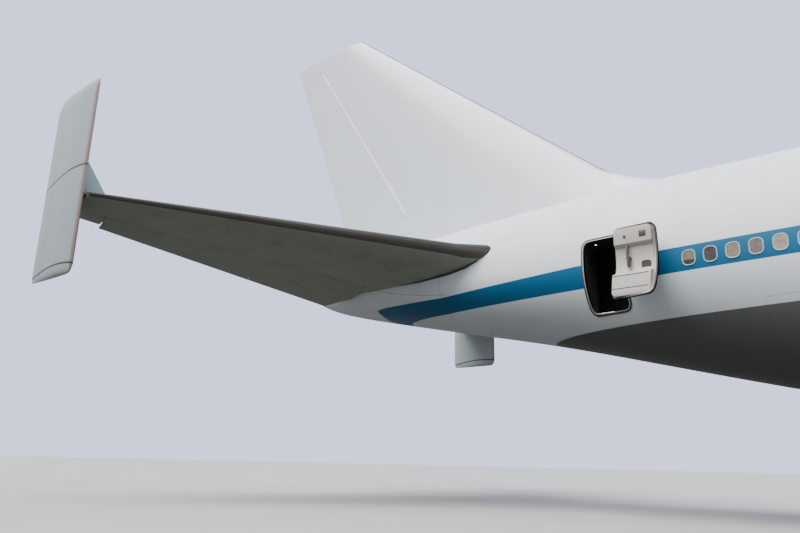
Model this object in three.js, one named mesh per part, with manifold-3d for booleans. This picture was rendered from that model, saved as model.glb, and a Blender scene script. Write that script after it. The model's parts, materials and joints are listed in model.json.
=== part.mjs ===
// A four-engined wide-body transport that carries another craft on three struts above its body.
// It has end plates on its tailplane, twin rudders one above the other, and five landing gear legs.
// Sizes are written in metres of the full-size aircraft, and the model is half of that size.
// A place is written as station (metres aft of the nose tip), side (metres to the left of the
// centre line) and height (metres above the ground). The model's frame has +X forward, +Y left
// and +Z up, with its origin on the ground below the middle of the overall length.
import * as THREE from "three";
import { mergeVertices } from "three/addons/utils/BufferGeometryUtils.js";
import Module from "manifold-3d";

const wasm = await Module();
wasm.setup();

// Driving dimensions
const MM = 500; // model millimetres for one metre of the full-size aircraft
const LENGTH = 70.66; // nose tip to the fin tip's trailing edge
const HALF_SPAN = 29.82;
const FIN_TOP = 19.33;
const SEAM = 0.3 / MM; // gap between pieces that meet
const PIN_GAP = 0.6 / MM; // gap round a pin or an axle
const SWING_GAP = 10 / MM; // gap round a control surface's nose and at its ends
const LEFT = 1;
const RIGHT = -1;
const SIDES = [
  ["left", LEFT],
  ["right", RIGHT],
];

// Frames and joins of the body, at the stations where the real sections meet
const JOIN_NOSE = 10.9;
const JOIN_FORWARD = 23.1;
const JOIN_CENTRE = 38.6;
const JOIN_AFT = 57.7;

const radians = THREE.MathUtils.degToRad;
const P = (station, side, height) =>
  new THREE.Vector3((LENGTH / 2 - station) * MM, side * MM, height * MM);
const between = (a, b, t) => a + (b - a) * t;

// Solids

// A closed geometry as a solid, whichever way round its faces were written
function solid(geometry) {
  const bare = geometry.clone();
  for (const name of Object.keys(bare.attributes)) {
    if (name !== "position") bare.deleteAttribute(name);
  }
  const merged = mergeVertices(bare, 1e-3);
  const corners = merged.attributes.position;
  const index = merged.index.array;
  let volume = 0;
  const [a, b, c] = [new THREE.Vector3(), new THREE.Vector3(), new THREE.Vector3()];
  for (let i = 0; i < index.length; i += 3) {
    a.fromBufferAttribute(corners, index[i]);
    b.fromBufferAttribute(corners, index[i + 1]);
    c.fromBufferAttribute(corners, index[i + 2]);
    volume += a.dot(b.cross(c));
  }
  const triVerts = [];
  for (let i = 0; i < index.length; i += 3) {
    const face = [index[i], index[i + 1], index[i + 2]];
    if (new Set(face).size < 3) continue;
    if (volume < 0) face.reverse();
    triVerts.push(...face);
  }
  return new wasm.Manifold(
    new wasm.Mesh({
      numProp: 3,
      vertProperties: new Float32Array(corners.array),
      triVerts: new Uint32Array(triVerts),
    }),
  );
}

const join = (...pieces) => pieces.flat().reduce((whole, piece) => whole.add(piece));
const cut = (piece, ...tools) => tools.flat().reduce((rest, tool) => rest.subtract(tool), piece);

function geometryOf(shape) {
  const mesh = shape.getMesh();
  const corners = new Float32Array(mesh.numVert * 3);
  for (let i = 0; i < mesh.numVert; i++) {
    corners.set(mesh.vertProperties.subarray(i * mesh.numProp, i * mesh.numProp + 3), i * 3);
  }
  const geometry = new THREE.BufferGeometry();
  geometry.setAttribute("position", new THREE.BufferAttribute(corners, 3));
  geometry.setIndex(new THREE.BufferAttribute(new Uint32Array(mesh.triVerts), 1));
  geometry.computeVertexNormals();
  return geometry;
}

// A solid through closed rings of equal count, with its ends closed by flat fans
function loft(rings) {
  const count = rings[0].length;
  const points = rings.flat();
  const faces = [];
  for (let row = 0; row + 1 < rings.length; row++) {
    for (let i = 0; i < count; i++) {
      const [a, b] = [row * count + i, row * count + ((i + 1) % count)];
      const [a2, b2] = [a + count, b + count];
      const straight = points[a].distanceTo(points[b2]) <= points[b].distanceTo(points[a2]);
      if (straight) faces.push(a, b, b2, a, b2, a2);
      else faces.push(a, b, a2, b, b2, a2);
    }
  }
  for (const [ring, start, flip] of [
    [rings[0], 0, true],
    [rings.at(-1), (rings.length - 1) * count, false],
  ]) {
    const middle = new THREE.Vector3();
    for (const point of ring) middle.addScaledVector(point, 1 / count);
    points.push(middle);
    for (let i = 0; i < count; i++) {
      const edge = [start + i, start + ((i + 1) % count)];
      if (flip) edge.reverse();
      faces.push(...edge, points.length - 1);
    }
  }
  const geometry = new THREE.BufferGeometry();
  geometry.setAttribute("position", new THREE.Float32BufferAttribute(points.flatMap((p) => p.toArray()), 3));
  geometry.setIndex(faces);
  return solid(geometry);
}

function block(stations, sides, heights) {
  const [low, high] = [P(stations[1], sides[0], heights[0]), P(stations[0], sides[1], heights[1])];
  const size = high.clone().sub(low);
  const geometry = new THREE.BoxGeometry(size.x, size.y, size.z);
  const middle = low.add(high).multiplyScalar(0.5);
  return solid(geometry.translate(middle.x, middle.y, middle.z));
}

// A round bar, or a cone, between two places
function rod(from, to, radius, sides = 10, endRadius = radius) {
  const [a, b] = [P(...from), P(...to)];
  const along = b.clone().sub(a);
  const geometry = new THREE.CylinderGeometry(endRadius * MM, radius * MM, along.length(), sides);
  geometry.applyQuaternion(
    new THREE.Quaternion().setFromUnitVectors(new THREE.Vector3(0, 1, 0), along.clone().normalize()),
  );
  const middle = a.add(b).multiplyScalar(0.5);
  return solid(geometry.translate(middle.x, middle.y, middle.z));
}

// A turned solid: a profile of [radius, distance along the axis], with the axis along -X from a place
function turned(place, profile, sides) {
  const points = profile.map(([radius, along]) => new THREE.Vector2(radius * MM, along * MM));
  const geometry = new THREE.LatheGeometry(points, sides).rotateZ(Math.PI / 2);
  const origin = P(...place);
  return solid(geometry.translate(origin.x, origin.y, origin.z));
}

// Body

// Sections of the body: station, keel, widest and crown heights, half width, and the crown's
// radius as a share of the main circle's (1 is a plain round top, less is a narrower upper deck)
const BODY_SECTIONS = [
  { station: 0.0, keel: 4.66, widest: 4.78, crown: 4.9, half: 0.1, lobe: 1 },
  { station: 0.3, keel: 4.16, widest: 4.79, crown: 5.4, half: 0.64, lobe: 1 },
  { station: 0.9, keel: 3.66, widest: 4.84, crown: 5.98, half: 1.2, lobe: 1 },
  { station: 1.9, keel: 3.14, widest: 4.97, crown: 6.78, half: 1.78, lobe: 0.96 },
  { station: 3.1, keel: 2.74, widest: 5.14, crown: 7.66, half: 2.24, lobe: 0.86 },
  { station: 4.4, keel: 2.47, widest: 5.33, crown: 8.8, half: 2.6, lobe: 0.74 },
  { station: 5.7, keel: 2.28, widest: 5.49, crown: 9.42, half: 2.86, lobe: 0.64 },
  { station: 7.4, keel: 2.14, widest: 5.64, crown: 9.88, half: 3.08, lobe: 0.59 },
  { station: 9.2, keel: 2.07, widest: 5.74, crown: 10.08, half: 3.2, lobe: 0.58 },
  { station: JOIN_NOSE, keel: 2.05, widest: 5.78, crown: 10.12, half: 3.25, lobe: 0.58 },
  { station: 16.6, keel: 2.05, widest: 5.78, crown: 10.12, half: 3.25, lobe: 0.58 },
  { station: 19.0, keel: 2.05, widest: 5.78, crown: 9.98, half: 3.25, lobe: 0.64 },
  { station: 21.2, keel: 2.05, widest: 5.78, crown: 9.7, half: 3.25, lobe: 0.78 },
  { station: JOIN_FORWARD, keel: 2.05, widest: 5.78, crown: 9.45, half: 3.25, lobe: 0.92 },
  { station: 25.0, keel: 2.05, widest: 5.78, crown: 9.35, half: 3.25, lobe: 1 },
  { station: JOIN_CENTRE, keel: 2.05, widest: 5.78, crown: 9.33, half: 3.25, lobe: 1 },
  { station: 43.5, keel: 2.07, widest: 5.78, crown: 9.33, half: 3.25, lobe: 1 },
  { station: 46.0, keel: 2.26, widest: 5.83, crown: 9.33, half: 3.24, lobe: 1 },
  { station: 49.0, keel: 2.74, widest: 5.95, crown: 9.34, half: 3.2, lobe: 1 },
  { station: 52.0, keel: 3.46, widest: 6.15, crown: 9.36, half: 3.1, lobe: 1 },
  { station: 55.0, keel: 4.24, widest: 6.42, crown: 9.37, half: 2.92, lobe: 1 },
  { station: JOIN_AFT, keel: 4.92, widest: 6.68, crown: 9.33, half: 2.6, lobe: 1 },
  { station: 60.5, keel: 5.49, widest: 6.93, crown: 9.22, half: 2.24, lobe: 1 },
  { station: 63.0, keel: 6.03, widest: 7.15, crown: 9.1, half: 1.93, lobe: 1 },
  { station: 65.2, keel: 6.5, widest: 7.36, crown: 8.93, half: 1.56, lobe: 1 },
  { station: 67.0, keel: 6.95, widest: 7.58, crown: 8.68, half: 1.12, lobe: 1 },
  { station: 67.9, keel: 7.32, widest: 7.76, crown: 8.48, half: 0.72, lobe: 1 },
  { station: 68.5, keel: 7.7, widest: 7.92, crown: 8.24, half: 0.3, lobe: 1 },
];
const LOBE_START = radians(30); // where the side of the upper deck leaves the main circle
const KEEL_STEPS = 8;
const SHOULDER_STEPS = 3;
const CROWN_STEPS = 5;

// The body's section: an elliptical keel, a circle up to the lobe, and the crown's narrower circle
function bodyRing({ station, keel, widest, crown, half, lobe }, grow = 0) {
  const lift = (1 - lobe) / Math.sin(LOBE_START);
  const unitCrown = lift + lobe;
  const outline = [];
  for (let i = 0; i < KEEL_STEPS; i++) {
    const turn = between(-Math.PI / 2, 0, i / KEEL_STEPS);
    outline.push([Math.cos(turn), Math.sin(turn)]);
  }
  for (let i = 0; i < SHOULDER_STEPS; i++) {
    const turn = between(0, LOBE_START, i / SHOULDER_STEPS);
    outline.push([Math.cos(turn), Math.sin(turn)]);
  }
  for (let i = 0; i <= CROWN_STEPS; i++) {
    const turn = between(LOBE_START, Math.PI / 2, i / CROWN_STEPS);
    outline.push([lobe * Math.cos(turn), lift + lobe * Math.sin(turn)]);
  }
  const place = ([across, up], side) =>
    P(
      station,
      side * across * (half + grow),
      widest + up * (up < 0 ? widest - keel + grow : (crown - widest + grow) / unitCrown),
    );
  const left = outline.map((point) => place(point, LEFT));
  const right = outline.slice(1, -1).map((point) => place(point, RIGHT));
  return [...left, ...right.reverse()];
}

function body(from, to, grow = 0) {
  const rows = BODY_SECTIONS.filter(({ station }) => station >= from && station <= to);
  return loft(rows.map((row) => bodyRing(row, grow)));
}

// The fairing that joins wing and body: its sides are flat where the wings meet it
const FAIRING_SIDE = 3.4;
const FAIRING_SECTIONS = [
  { station: 19.6, keel: 2.3, top: 3.3, half: 1.2 },
  { station: 21.4, keel: 1.98, top: 4.3, half: 2.7 },
  { station: 23.4, keel: 1.9, top: 4.9, half: FAIRING_SIDE },
  { station: 36.6, keel: 1.9, top: 4.9, half: FAIRING_SIDE },
  { station: 38.6, keel: 1.98, top: 4.4, half: 2.9 },
  { station: 40.4, keel: 2.3, top: 3.4, half: 1.4 },
];
const FAIRING_CORNER_STEPS = 4;

function fairing(grow = 0) {
  const rings = FAIRING_SECTIONS.map(({ station, keel, top, half }, row) => {
    const last = row === FAIRING_SECTIONS.length - 1;
    const along = station + (row === 0 ? -grow : last ? grow : 0);
    const round = Math.min(0.9, half * 0.45, (top - keel) * 0.45);
    const corner = [];
    for (let i = 0; i <= FAIRING_CORNER_STEPS; i++) {
      const turn = between(-Math.PI / 2, 0, i / FAIRING_CORNER_STEPS);
      corner.push([half - round + round * Math.cos(turn), keel + round + round * Math.sin(turn)]);
    }
    corner.push([half, top - 0.35], [half - 0.35, top]);
    const place = ([side, height], sign) =>
      P(along, sign * (side + grow), height + (height < (keel + top) / 2 ? -grow : grow));
    const left = corner.map((point) => place(point, LEFT));
    const right = corner.map((point) => place(point, RIGHT));
    return [...left, ...right.reverse()];
  });
  return loft(rings);
}

// Wings, fins and their hinged surfaces

// Chord shares and thickness shares of a symmetrical section with a thin, square trailing edge
const CHORD_STEPS = 6;
const TRAILING_SHARE = 0.02;

function thicknessAt(share) {
  const root = 1.4845 * Math.sqrt(share);
  const rest = -0.63 * share - 1.758 * share ** 2 + 1.4215 * share ** 3 - 0.5075 * share ** 4;
  return Math.max(root + rest, 0) + TRAILING_SHARE * share;
}

const CHORD_SHARES = Array.from({ length: CHORD_STEPS + 1 }, (_, i) => {
  return 1 - Math.cos((Math.PI / 2) * (i / CHORD_STEPS));
});

// A section of a wing or fin. lead is the leading edge's place, up is across the chord plane,
// pitch lowers the trailing edge, in degrees. grow thickens it all round.
function wingRing({ lead, chord, thick, up, pitch = 0 }, grow = 0) {
  const origin = P(...lead);
  const back = new THREE.Vector3(-Math.cos(radians(pitch)), 0, -Math.sin(radians(pitch)));
  const normal = up === "side" ? new THREE.Vector3(0, 1, 0) : new THREE.Vector3(-back.z, 0, -back.x);
  const at = (share, sign) => {
    const along = share * (chord + grow * 2) - grow;
    const away = thicknessAt(share) * thick * chord + (share > 0 ? grow : 0);
    return origin
      .clone()
      .addScaledVector(back, along * MM)
      .addScaledVector(normal, sign * away * MM);
  };
  const top = CHORD_SHARES.map((share) => at(share, 1));
  const under = CHORD_SHARES.slice(1).map((share) => at(share, -1));
  return [...top, ...under.reverse()];
}

const panel = (sections, grow = 0) => loft(sections.map((section) => wingRing(section, grow)));

// A place on the chord plane of a panel between two sections
function chordPlace(a, b, across, share) {
  const spot = ({ lead, chord, pitch = 0 }) =>
    P(...lead).add(
      new THREE.Vector3(
        -Math.cos(radians(pitch)) * share * chord * MM,
        0,
        -Math.sin(radians(pitch)) * share * chord * MM,
      ),
    );
  return spot(a).lerp(spot(b), across);
}

// A hexahedron over a quadrilateral in one plane, thickened both ways along a direction
function slab(corners, normal, depth) {
  const rings = [-depth, depth].map((away) =>
    corners.map((corner) => corner.clone().addScaledVector(normal, away)),
  );
  return loft(rings);
}

const BORE_SIDES = 12;
const NOSE_SIDES = 16;

function cone(from, to, startRadius, endRadius, sides) {
  const along = to.clone().sub(from);
  const geometry = new THREE.CylinderGeometry(endRadius, startRadius, along.length(), sides);
  geometry.applyQuaternion(
    new THREE.Quaternion().setFromUnitVectors(new THREE.Vector3(0, 1, 0), along.clone().normalize()),
  );
  const middle = from.clone().add(to).multiplyScalar(0.5);
  return solid(geometry.translate(middle.x, middle.y, middle.z));
}

const PIN_RADIUS = 15; // model millimetres, the hinge pins at a surface's ends
const PIN_BORE = PIN_RADIUS + 0.9;
const PIN_REACH = 14;
const NOSE_SHARE = 0.97; // the nose roll stays just inside the skin
const SQUARE_SHARE = 0.45; // how far aft of the hinge a surface's ends stay square to it

// Splits a control surface off a panel. sections are its two ends, hinge the chord share of the
// hinge line, from and to the shares of the span, swing the most that it turns either way, and
// droop how far it hangs at rest, in degrees. Its ends are square to the hinge where the section is
// thick, and further aft slants gives how far each one leans along the hinge for each metre.
function hinged(sections, { hinge, from, to, swing, droop = 0, slants = [0, 0] }) {
  const [a, b] = sections;
  const halfThickness = ({ thick, chord }) => thicknessAt(hinge) * thick * chord * MM * NOSE_SHARE;
  const radiusAt = (share) => between(halfThickness(a), halfThickness(b), share);
  const [start, end] = [chordPlace(a, b, from, hinge), chordPlace(a, b, to, hinge)];
  const axis = end.clone().sub(start).normalize();
  const span = end.distanceTo(start);
  const towardsTail = chordPlace(a, b, from, 1).sub(start);
  const back = towardsTail.clone().addScaledVector(axis, -towardsTail.dot(axis)).normalize();
  const normal = axis.clone().cross(back);
  const far = towardsTail.length() * 1.4;
  const depth = radiusAt(from) * 3;
  const at = (along, aft) => start.clone().addScaledVector(axis, along).addScaledVector(back, aft);
  const gap = SWING_GAP * MM;
  const lip = (along) => -radiusAt(between(from, to, along / span)) * Math.sin(radians(swing));
  const square = towardsTail.length() * SQUARE_SHARE;
  const edge = (along, slant) => [
    at(along, 0),
    at(along, square),
    at(along + slant * (far - square), far),
  ];
  const outline = (ahead, margin) => [
    ...ahead,
    ...edge(span - margin, slants[1]),
    ...edge(margin, slants[0]).reverse(),
  ];
  const room = slab(outline([at(0, lip(0)), at(span, lip(span))], 0), normal, depth);
  const roll = cone(at(0, 0), at(span, 0), radiusAt(from) + gap, radiusAt(to) + gap, NOSE_SIDES);
  const bore = cone(at(-PIN_REACH - 2, 0), at(span + PIN_REACH + 2, 0), PIN_BORE, PIN_BORE, BORE_SIDES);
  const area = slab(outline([], gap), normal, depth);
  const nose = cone(at(gap, 0), at(span - gap, 0), radiusAt(from), radiusAt(to), NOSE_SIDES);
  const pin = cone(at(-PIN_REACH, 0), at(span + PIN_REACH, 0), PIN_RADIUS, PIN_RADIUS, BORE_SIDES);
  const tail = panel(sections).intersect(area);
  return { room: [room, roll, bore], surface: join(tail, nose, pin), start, axis, droop };
}

// Main wing: leading edge, chord, thickness share and pitch at the fairing, the kink and the tip
const WING_ROOT = 19.2 + 0.87 * FAIRING_SIDE;
const WING_DIHEDRAL = Math.tan(radians(7));
const WING_HEIGHT = 3.3;
const wingHeight = (side) => WING_HEIGHT + (side - FAIRING_SIDE) * WING_DIHEDRAL;
const WING_STATIONS = [
  { side: FAIRING_SIDE + SEAM, station: WING_ROOT, chord: 14.4, thick: 0.134, pitch: 2.5 },
  { side: 11.8, station: 19.2 + 0.87 * 11.8, chord: 9.0, thick: 0.098, pitch: 1.5 },
  { side: HALF_SPAN - 0.5, station: 19.2 + 0.87 * (HALF_SPAN - 0.5), chord: 4.2, thick: 0.08, pitch: 0 },
  { side: HALF_SPAN, station: 19.2 + 0.87 * HALF_SPAN + 0.5, chord: 3.3, thick: 0.045, pitch: 0 },
];
const wingSections = (sign) =>
  WING_STATIONS.map(({ side, station, chord, thick, pitch }) => ({
    lead: [station, sign * side, wingHeight(side)],
    chord,
    thick,
    pitch,
    up: "top",
  }));

const AILERONS = [
  { name: "aileron_inner", hinge: 0.76, from: 0.06, to: 0.15, swing: 20 },
  { name: "aileron_outer", hinge: 0.76, from: 0.56, to: 0.95, swing: 25 },
];

// Pods under the wing's trailing edge that cover the flap tracks: side and size of each
const TRACK_PODS = [
  { side: 5.9, length: 4.6, radius: 0.34, drop: 0.6 },
  { side: 9.4, length: 4.4, radius: 0.32, drop: 0.5 },
  { side: 15.9, length: 3.9, radius: 0.28, drop: 0.42 },
  { side: 19.4, length: 3.6, radius: 0.26, drop: 0.36 },
];
const TRACK_POD_SIDES = 8;
const TRACK_POD_PROFILE = [
  [0, 0],
  [0.75, 0.12],
  [1, 0.45],
  [0.7, 0.78],
  [0, 1],
];

function trailingEdge(side) {
  const [root, kink, tip] = WING_STATIONS;
  const [a, b] = side < kink.side ? [root, kink] : [kink, tip];
  const share = (side - a.side) / (b.side - a.side);
  return between(a.station + a.chord, b.station + b.chord, share);
}

function trackPod(sign, { side, length, radius, drop }) {
  const profile = TRACK_POD_PROFILE.map(([share, along]) => [radius * share, along * length]);
  const start = [trailingEdge(side) - length + 0.55, sign * side, wingHeight(side) - drop];
  return turned(start, profile, TRACK_POD_SIDES);
}

// Tailplane
const TAIL_LEAD = 56.5;
const TAIL_SWEEP = 0.927; // leading edge, metres aft for each metre of span
const TAIL_SPAN = 11.03;
const TAIL_ROOT = { side: 1.7, height: 7.51 }; // leading edge where it meets the body
const TAIL_DIHEDRAL = Math.tan(radians(7));
const TAIL_PITCH = 0.8;
const tailHeight = (side) => TAIL_ROOT.height + (side - TAIL_ROOT.side) * TAIL_DIHEDRAL;
const tailSections = (sign) =>
  [
    { side: 0.4, chord: 9.38, thick: 0.11 },
    { side: TAIL_SPAN, chord: 2.3, thick: 0.09 },
  ].map(({ side, chord, thick }) => ({
    lead: [TAIL_LEAD + side * TAIL_SWEEP, sign * side, tailHeight(side)],
    chord,
    thick,
    pitch: TAIL_PITCH,
    up: "top",
  }));

const ELEVATORS = [
  { name: "elevator_inner", from: 0.165, to: 0.49, slants: [0.4, -0.2] },
  { name: "elevator_outer", from: 0.5, to: 0.905, slants: [-0.2, 0.25] },
].map((elevator) => ({ ...elevator, hinge: 0.65, swing: 25, droop: 8 }));

// Fin
const FIN_BASE = 8.4;
const FIN_SLOPE = 11.84 / 9.83; // leading edge, metres aft for each metre up
const FIN_ROOT_LEAD = 66.46 - (FIN_TOP - FIN_BASE) * FIN_SLOPE;
const FIN_TRAIL_SLOPE = 4.05 / 9.83;
const finChord = (height) => {
  const lead = FIN_ROOT_LEAD + (height - FIN_BASE) * FIN_SLOPE;
  return LENGTH - (FIN_TOP - height) * FIN_TRAIL_SLOPE - lead;
};
const finSection = (height, thick) => ({
  lead: [FIN_ROOT_LEAD + (height - FIN_BASE) * FIN_SLOPE, 0, height],
  chord: finChord(height),
  thick,
  up: "side",
});
const FIN_SECTIONS = [finSection(FIN_BASE, 0.1), finSection(FIN_TOP, 0.085)];
const RUDDERS = [
  { name: "rudder_lower", from: 0.185, to: 0.423, slants: [0.25, 0.63] },
  { name: "rudder_upper", from: 0.433, to: 0.94, slants: [0.63, 0.5] },
].map((rudder) => ({ ...rudder, hinge: 0.7, swing: 25 }));

// The fillet in front of the fin: height above the base and how far it reaches ahead of the fin
const DORSAL_ROWS = [
  { height: FIN_BASE, reach: 2.6 },
  { height: 9.3, reach: 1.9 },
  { height: 9.52, reach: 1.05 },
  { height: 9.72, reach: 0.55 },
  { height: 9.95, reach: 0.24 },
  { height: 10.5, reach: 0 },
];

function dorsal() {
  const sections = DORSAL_ROWS.map(({ height, reach }) => ({
    lead: [FIN_ROOT_LEAD + (height - FIN_BASE) * FIN_SLOPE - reach, 0, height],
    chord: 6 + reach,
    thick: 0.1,
    up: "side",
  }));
  return panel(sections);
}

// End plates: heights from the foot to the top, with leading edge and chord at each
const PLATE_LEAD = 66.85;
const PLATE_CHORD = 2.52;
const PLATE_SIDE = TAIL_SPAN + 0.17;
const PLATE_THICK = 0.1;
const PLATE_FOOT = 6.22;
const PLATE_TOP = 12.4;
const PLATE_ROWS = [
  { height: PLATE_FOOT, inset: 0.2, trail: 0.12, thick: 0.035 },
  { height: PLATE_FOOT + 0.1, inset: 0.06, trail: 0.03, thick: 0.08 },
  { height: PLATE_FOOT + 0.28, inset: 0, trail: 0, thick: PLATE_THICK },
  { height: PLATE_TOP - 0.5, inset: 0, trail: 0, thick: PLATE_THICK },
  { height: PLATE_TOP - 0.26, inset: 0, trail: 0.1, thick: PLATE_THICK },
  { height: PLATE_TOP - 0.1, inset: 0, trail: 0.25, thick: PLATE_THICK * 0.9 },
  { height: PLATE_TOP, inset: 0, trail: 0.5, thick: 0.06 },
];

function endPlate(sign) {
  return panel(
    PLATE_ROWS.map(({ height, inset, trail, thick }) => ({
      lead: [PLATE_LEAD + inset, sign * PLATE_SIDE, height],
      chord: PLATE_CHORD - inset - trail,
      thick,
      up: "side",
    })),
  );
}

// The streamlined gusset in the corner between the end plate and the tailplane
const GUSSET_ROWS = [
  { station: PLATE_LEAD + 0.1, reach: 0.2, rise: 0.3 },
  { station: PLATE_LEAD + 0.3, reach: 1.1, rise: 1.22 },
  { station: PLATE_LEAD + 0.8, reach: 1.0, rise: 1.15 },
  { station: PLATE_LEAD + 1.8, reach: 0.15, rise: 0.3 },
];

function gusset(sign) {
  const rings = GUSSET_ROWS.map(({ station, reach, rise }) => {
    const edge = PLATE_SIDE - 0.02;
    return [
      P(station, sign * edge, tailHeight(edge)),
      P(station, sign * (edge - reach), tailHeight(edge - reach)),
      P(station, sign * (edge - 0.06), tailHeight(edge) + rise),
      P(station, sign * edge, tailHeight(edge) + rise),
    ];
  });
  return loft(rings);
}

// Engines

const ENGINES = [
  { name: "inner", side: 11.8, lip: 23.9, height: 2.33 },
  { name: "outer", side: 21.2, lip: 32.1, height: 3.2 },
];
const FAN_RADIUS = 1.17;
const FAN_FACE = 1.15;
const COWL_LENGTH = 3.3;
const POD_SIDES = 20;
const COWL_BORE = 1.19;

function cowl(sign, { side, lip, height }, grow = 0) {
  const profile = [
    [1.2, 0],
    [1.32, 0.14],
    [1.39, 0.6],
    [1.4, 1.4],
    [1.34, 2.4],
    [1.21, COWL_LENGTH],
    [1.175, COWL_LENGTH],
    [COWL_BORE, 2.0],
    [COWL_BORE, 0.9],
    [1.14, 0.3],
  ];
  const rows = profile.map(([radius, along], i) => [radius + (i < 6 ? grow : -grow), along]);
  return turned([lip, sign * side, height], [...rows, rows[0]], POD_SIDES);
}

const SHAFT_RADIUS = 0.16;
const SHAFT_REACH = 0.5;
const SHAFT_SIDES = 16;
const CORE_SIDES = 16;

const CORE_FRONT = FAN_FACE + 0.42;
const CORE_PROFILE = [
  [0.7, CORE_FRONT],
  [0.84, 3.2],
  [0.8, 4.2],
  [0.62, 5.1],
  [0.46, 5.1],
  [0.26, 5.7],
];

// The engine's hot core, which tapers to the tail cone behind its nozzle
function coreBarrel(sign, { side, lip, height }, grow = 0) {
  const rows = CORE_PROFILE.map(([radius, along]) => [radius + grow, along]);
  const ends = [[0, CORE_FRONT], [0, 6.05 + grow]];
  return turned([lip, sign * side, height], [ends[0], ...rows, ends[1]], CORE_SIDES);
}

// The core with the frame that carries the cowl round it, bored for the fan's shaft
function core(sign, engine) {
  const { side, lip, height } = engine;
  const place = [lip, sign * side, height];
  const drum = (radius, from, to, sides) =>
    turned(place, [[0, from], [radius, from], [radius, to], [0, to]], sides);
  const frame = drum(COWL_BORE - SEAM * 2, CORE_FRONT + 0.12, CORE_FRONT + 0.3, POD_SIDES);
  const reach = CORE_FRONT + SHAFT_REACH + PIN_GAP;
  const bore = drum(SHAFT_RADIUS + PIN_GAP * 2.5, CORE_FRONT - 0.1, reach, SHAFT_SIDES);
  return cut(join(coreBarrel(sign, engine), frame), bore);
}

const BLADES = 14;

function fan(sign, { side, lip, height }) {
  const place = [lip, sign * side, height];
  const spinner = turned(
    place,
    [
      [0, FAN_FACE - 0.42],
      [0.22, FAN_FACE - 0.28],
      [0.42, FAN_FACE + 0.05],
      [0.42, FAN_FACE + 0.4],
      [SHAFT_RADIUS, FAN_FACE + 0.4],
      [SHAFT_RADIUS, CORE_FRONT + SHAFT_REACH],
      [0, CORE_FRONT + SHAFT_REACH],
    ],
    SHAFT_SIDES,
  );
  const rows = [
    { radius: 0.36, half: 0.15, lean: 25, depth: 0.04 },
    { radius: FAN_RADIUS - 0.018, half: 0.2, lean: 58, depth: 0.018 },
  ];
  const blades = Array.from({ length: BLADES }, (_, i) => {
    const turn = (2 * Math.PI * i) / BLADES;
    const rings = rows.map(({ radius, half, lean, depth }) => {
      const [c, s] = [Math.cos(radians(lean)), Math.sin(radians(lean))];
      return [
        [-half, 0],
        [0, -depth],
        [half, 0],
        [0, depth],
      ].map(([u, v]) => {
        const along = FAN_FACE + 0.2 + (u * c - v * s) * 0.9;
        const across = u * s + v * c;
        return P(
          lip + along,
          sign * side + Math.cos(turn) * radius - Math.sin(turn) * across,
          height + Math.sin(turn) * radius + Math.cos(turn) * across,
        );
      });
    });
    return loft(rings);
  });
  return join(spinner, blades);
}

// The strut that carries an engine: a thin upright slab, long at the wing and short at the pod
function pylon(sign, { side, lip, height }) {
  const under = wingHeight(side);
  const rows = [
    { height: height + 0.6, from: lip + 2.1, to: lip + 5.0, half: 0.18 },
    { height: height + 1.22, from: lip + 2.1, to: lip + 5.9, half: 0.24 },
    { height: height + 1.25, from: lip + 0.9, to: lip + 6.0, half: 0.24 },
    { height: under - 0.5, from: lip + 2.3, to: lip + 8.6, half: 0.24 },
    { height: under + 0.12, from: lip + 3.9, to: lip + 9.4, half: 0.2 },
  ];
  const rings = rows.map(({ height: z, from, to, half }) => [
    P(from, sign * side, z),
    P(from + 0.5, sign * side + half, z),
    P(between(from, to, 0.6), sign * side + half, z),
    P(to, sign * side, z),
    P(between(from, to, 0.6), sign * side - half, z),
    P(from + 0.5, sign * side - half, z),
  ]);
  return loft(rings);
}

// Landing gear

const TYRE_RADIUS = 0.585;
const AXLE_RADIUS = 0.09;
const AXLE_HALF_TRACK = 0.56;
const WHEEL_SIDES = 14;
// One wheel's outline from its inner hub to its outer one: radius, and distance from its middle
const WHEEL_PROFILE = [
  [AXLE_RADIUS, -0.15],
  [0.5, -0.2],
  [TYRE_RADIUS, -0.12],
  [TYRE_RADIUS, 0.12],
  [0.5, 0.2],
  [0, 0.15],
];

// Two wheels on one axle, as one turned solid
function wheelPair(station, side, radius = TYRE_RADIUS, halfTrack = AXLE_HALF_TRACK) {
  const scale = radius / TYRE_RADIUS;
  const outline = WHEEL_PROFILE.map(([r, away]) => [
    r === AXLE_RADIUS ? r : r * scale,
    halfTrack + away,
  ]);
  const mirrored = outline.map(([r, away]) => [r, -away]).reverse();
  const points = [...mirrored, ...outline].map(([r, away]) => new THREE.Vector2(r * MM, away * MM));
  const geometry = new THREE.LatheGeometry(points, WHEEL_SIDES);
  const origin = P(station, side, radius);
  return solid(geometry.translate(origin.x, origin.y, origin.z));
}

const axleBore = (station, side, height) =>
  rod(
    [station, side - 0.3, height],
    [station, side + 0.3, height],
    (AXLE_RADIUS + PIN_GAP) / Math.cos(Math.PI / BORE_SIDES),
    BORE_SIDES,
  );

const TRUCK_HALF_BASE = 0.737;
const WING_GEAR = { station: 31.77, side: 5.5 };
const BODY_GEAR = { station: 34.84, side: 1.905 };
const NOSE_GEAR = { station: 7.7, radius: 0.62, halfTrack: 0.457 };
const TRUCK_HEIGHT = TYRE_RADIUS;

function truckBeam({ station, side }) {
  const beam = block(
    [station - TRUCK_HALF_BASE - 0.2, station + TRUCK_HALF_BASE + 0.2],
    [side - 0.13, side + 0.13],
    [TRUCK_HEIGHT - 0.16, TRUCK_HEIGHT + 0.16],
  );
  const bores = [-1, 1].map((end) =>
    axleBore(station + end * TRUCK_HALF_BASE, side, TRUCK_HEIGHT),
  );
  return cut(beam, bores);
}

const LEG_SIDES = 16;
const LINK_SIDES = 8;
const LINK_RADIUS = 0.06;
const GEAR_DOOR = { away: 0.42, half: 0.025, ahead: 0.62, behind: 0.5, foot: 1.32, top: 2.55 };

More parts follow.
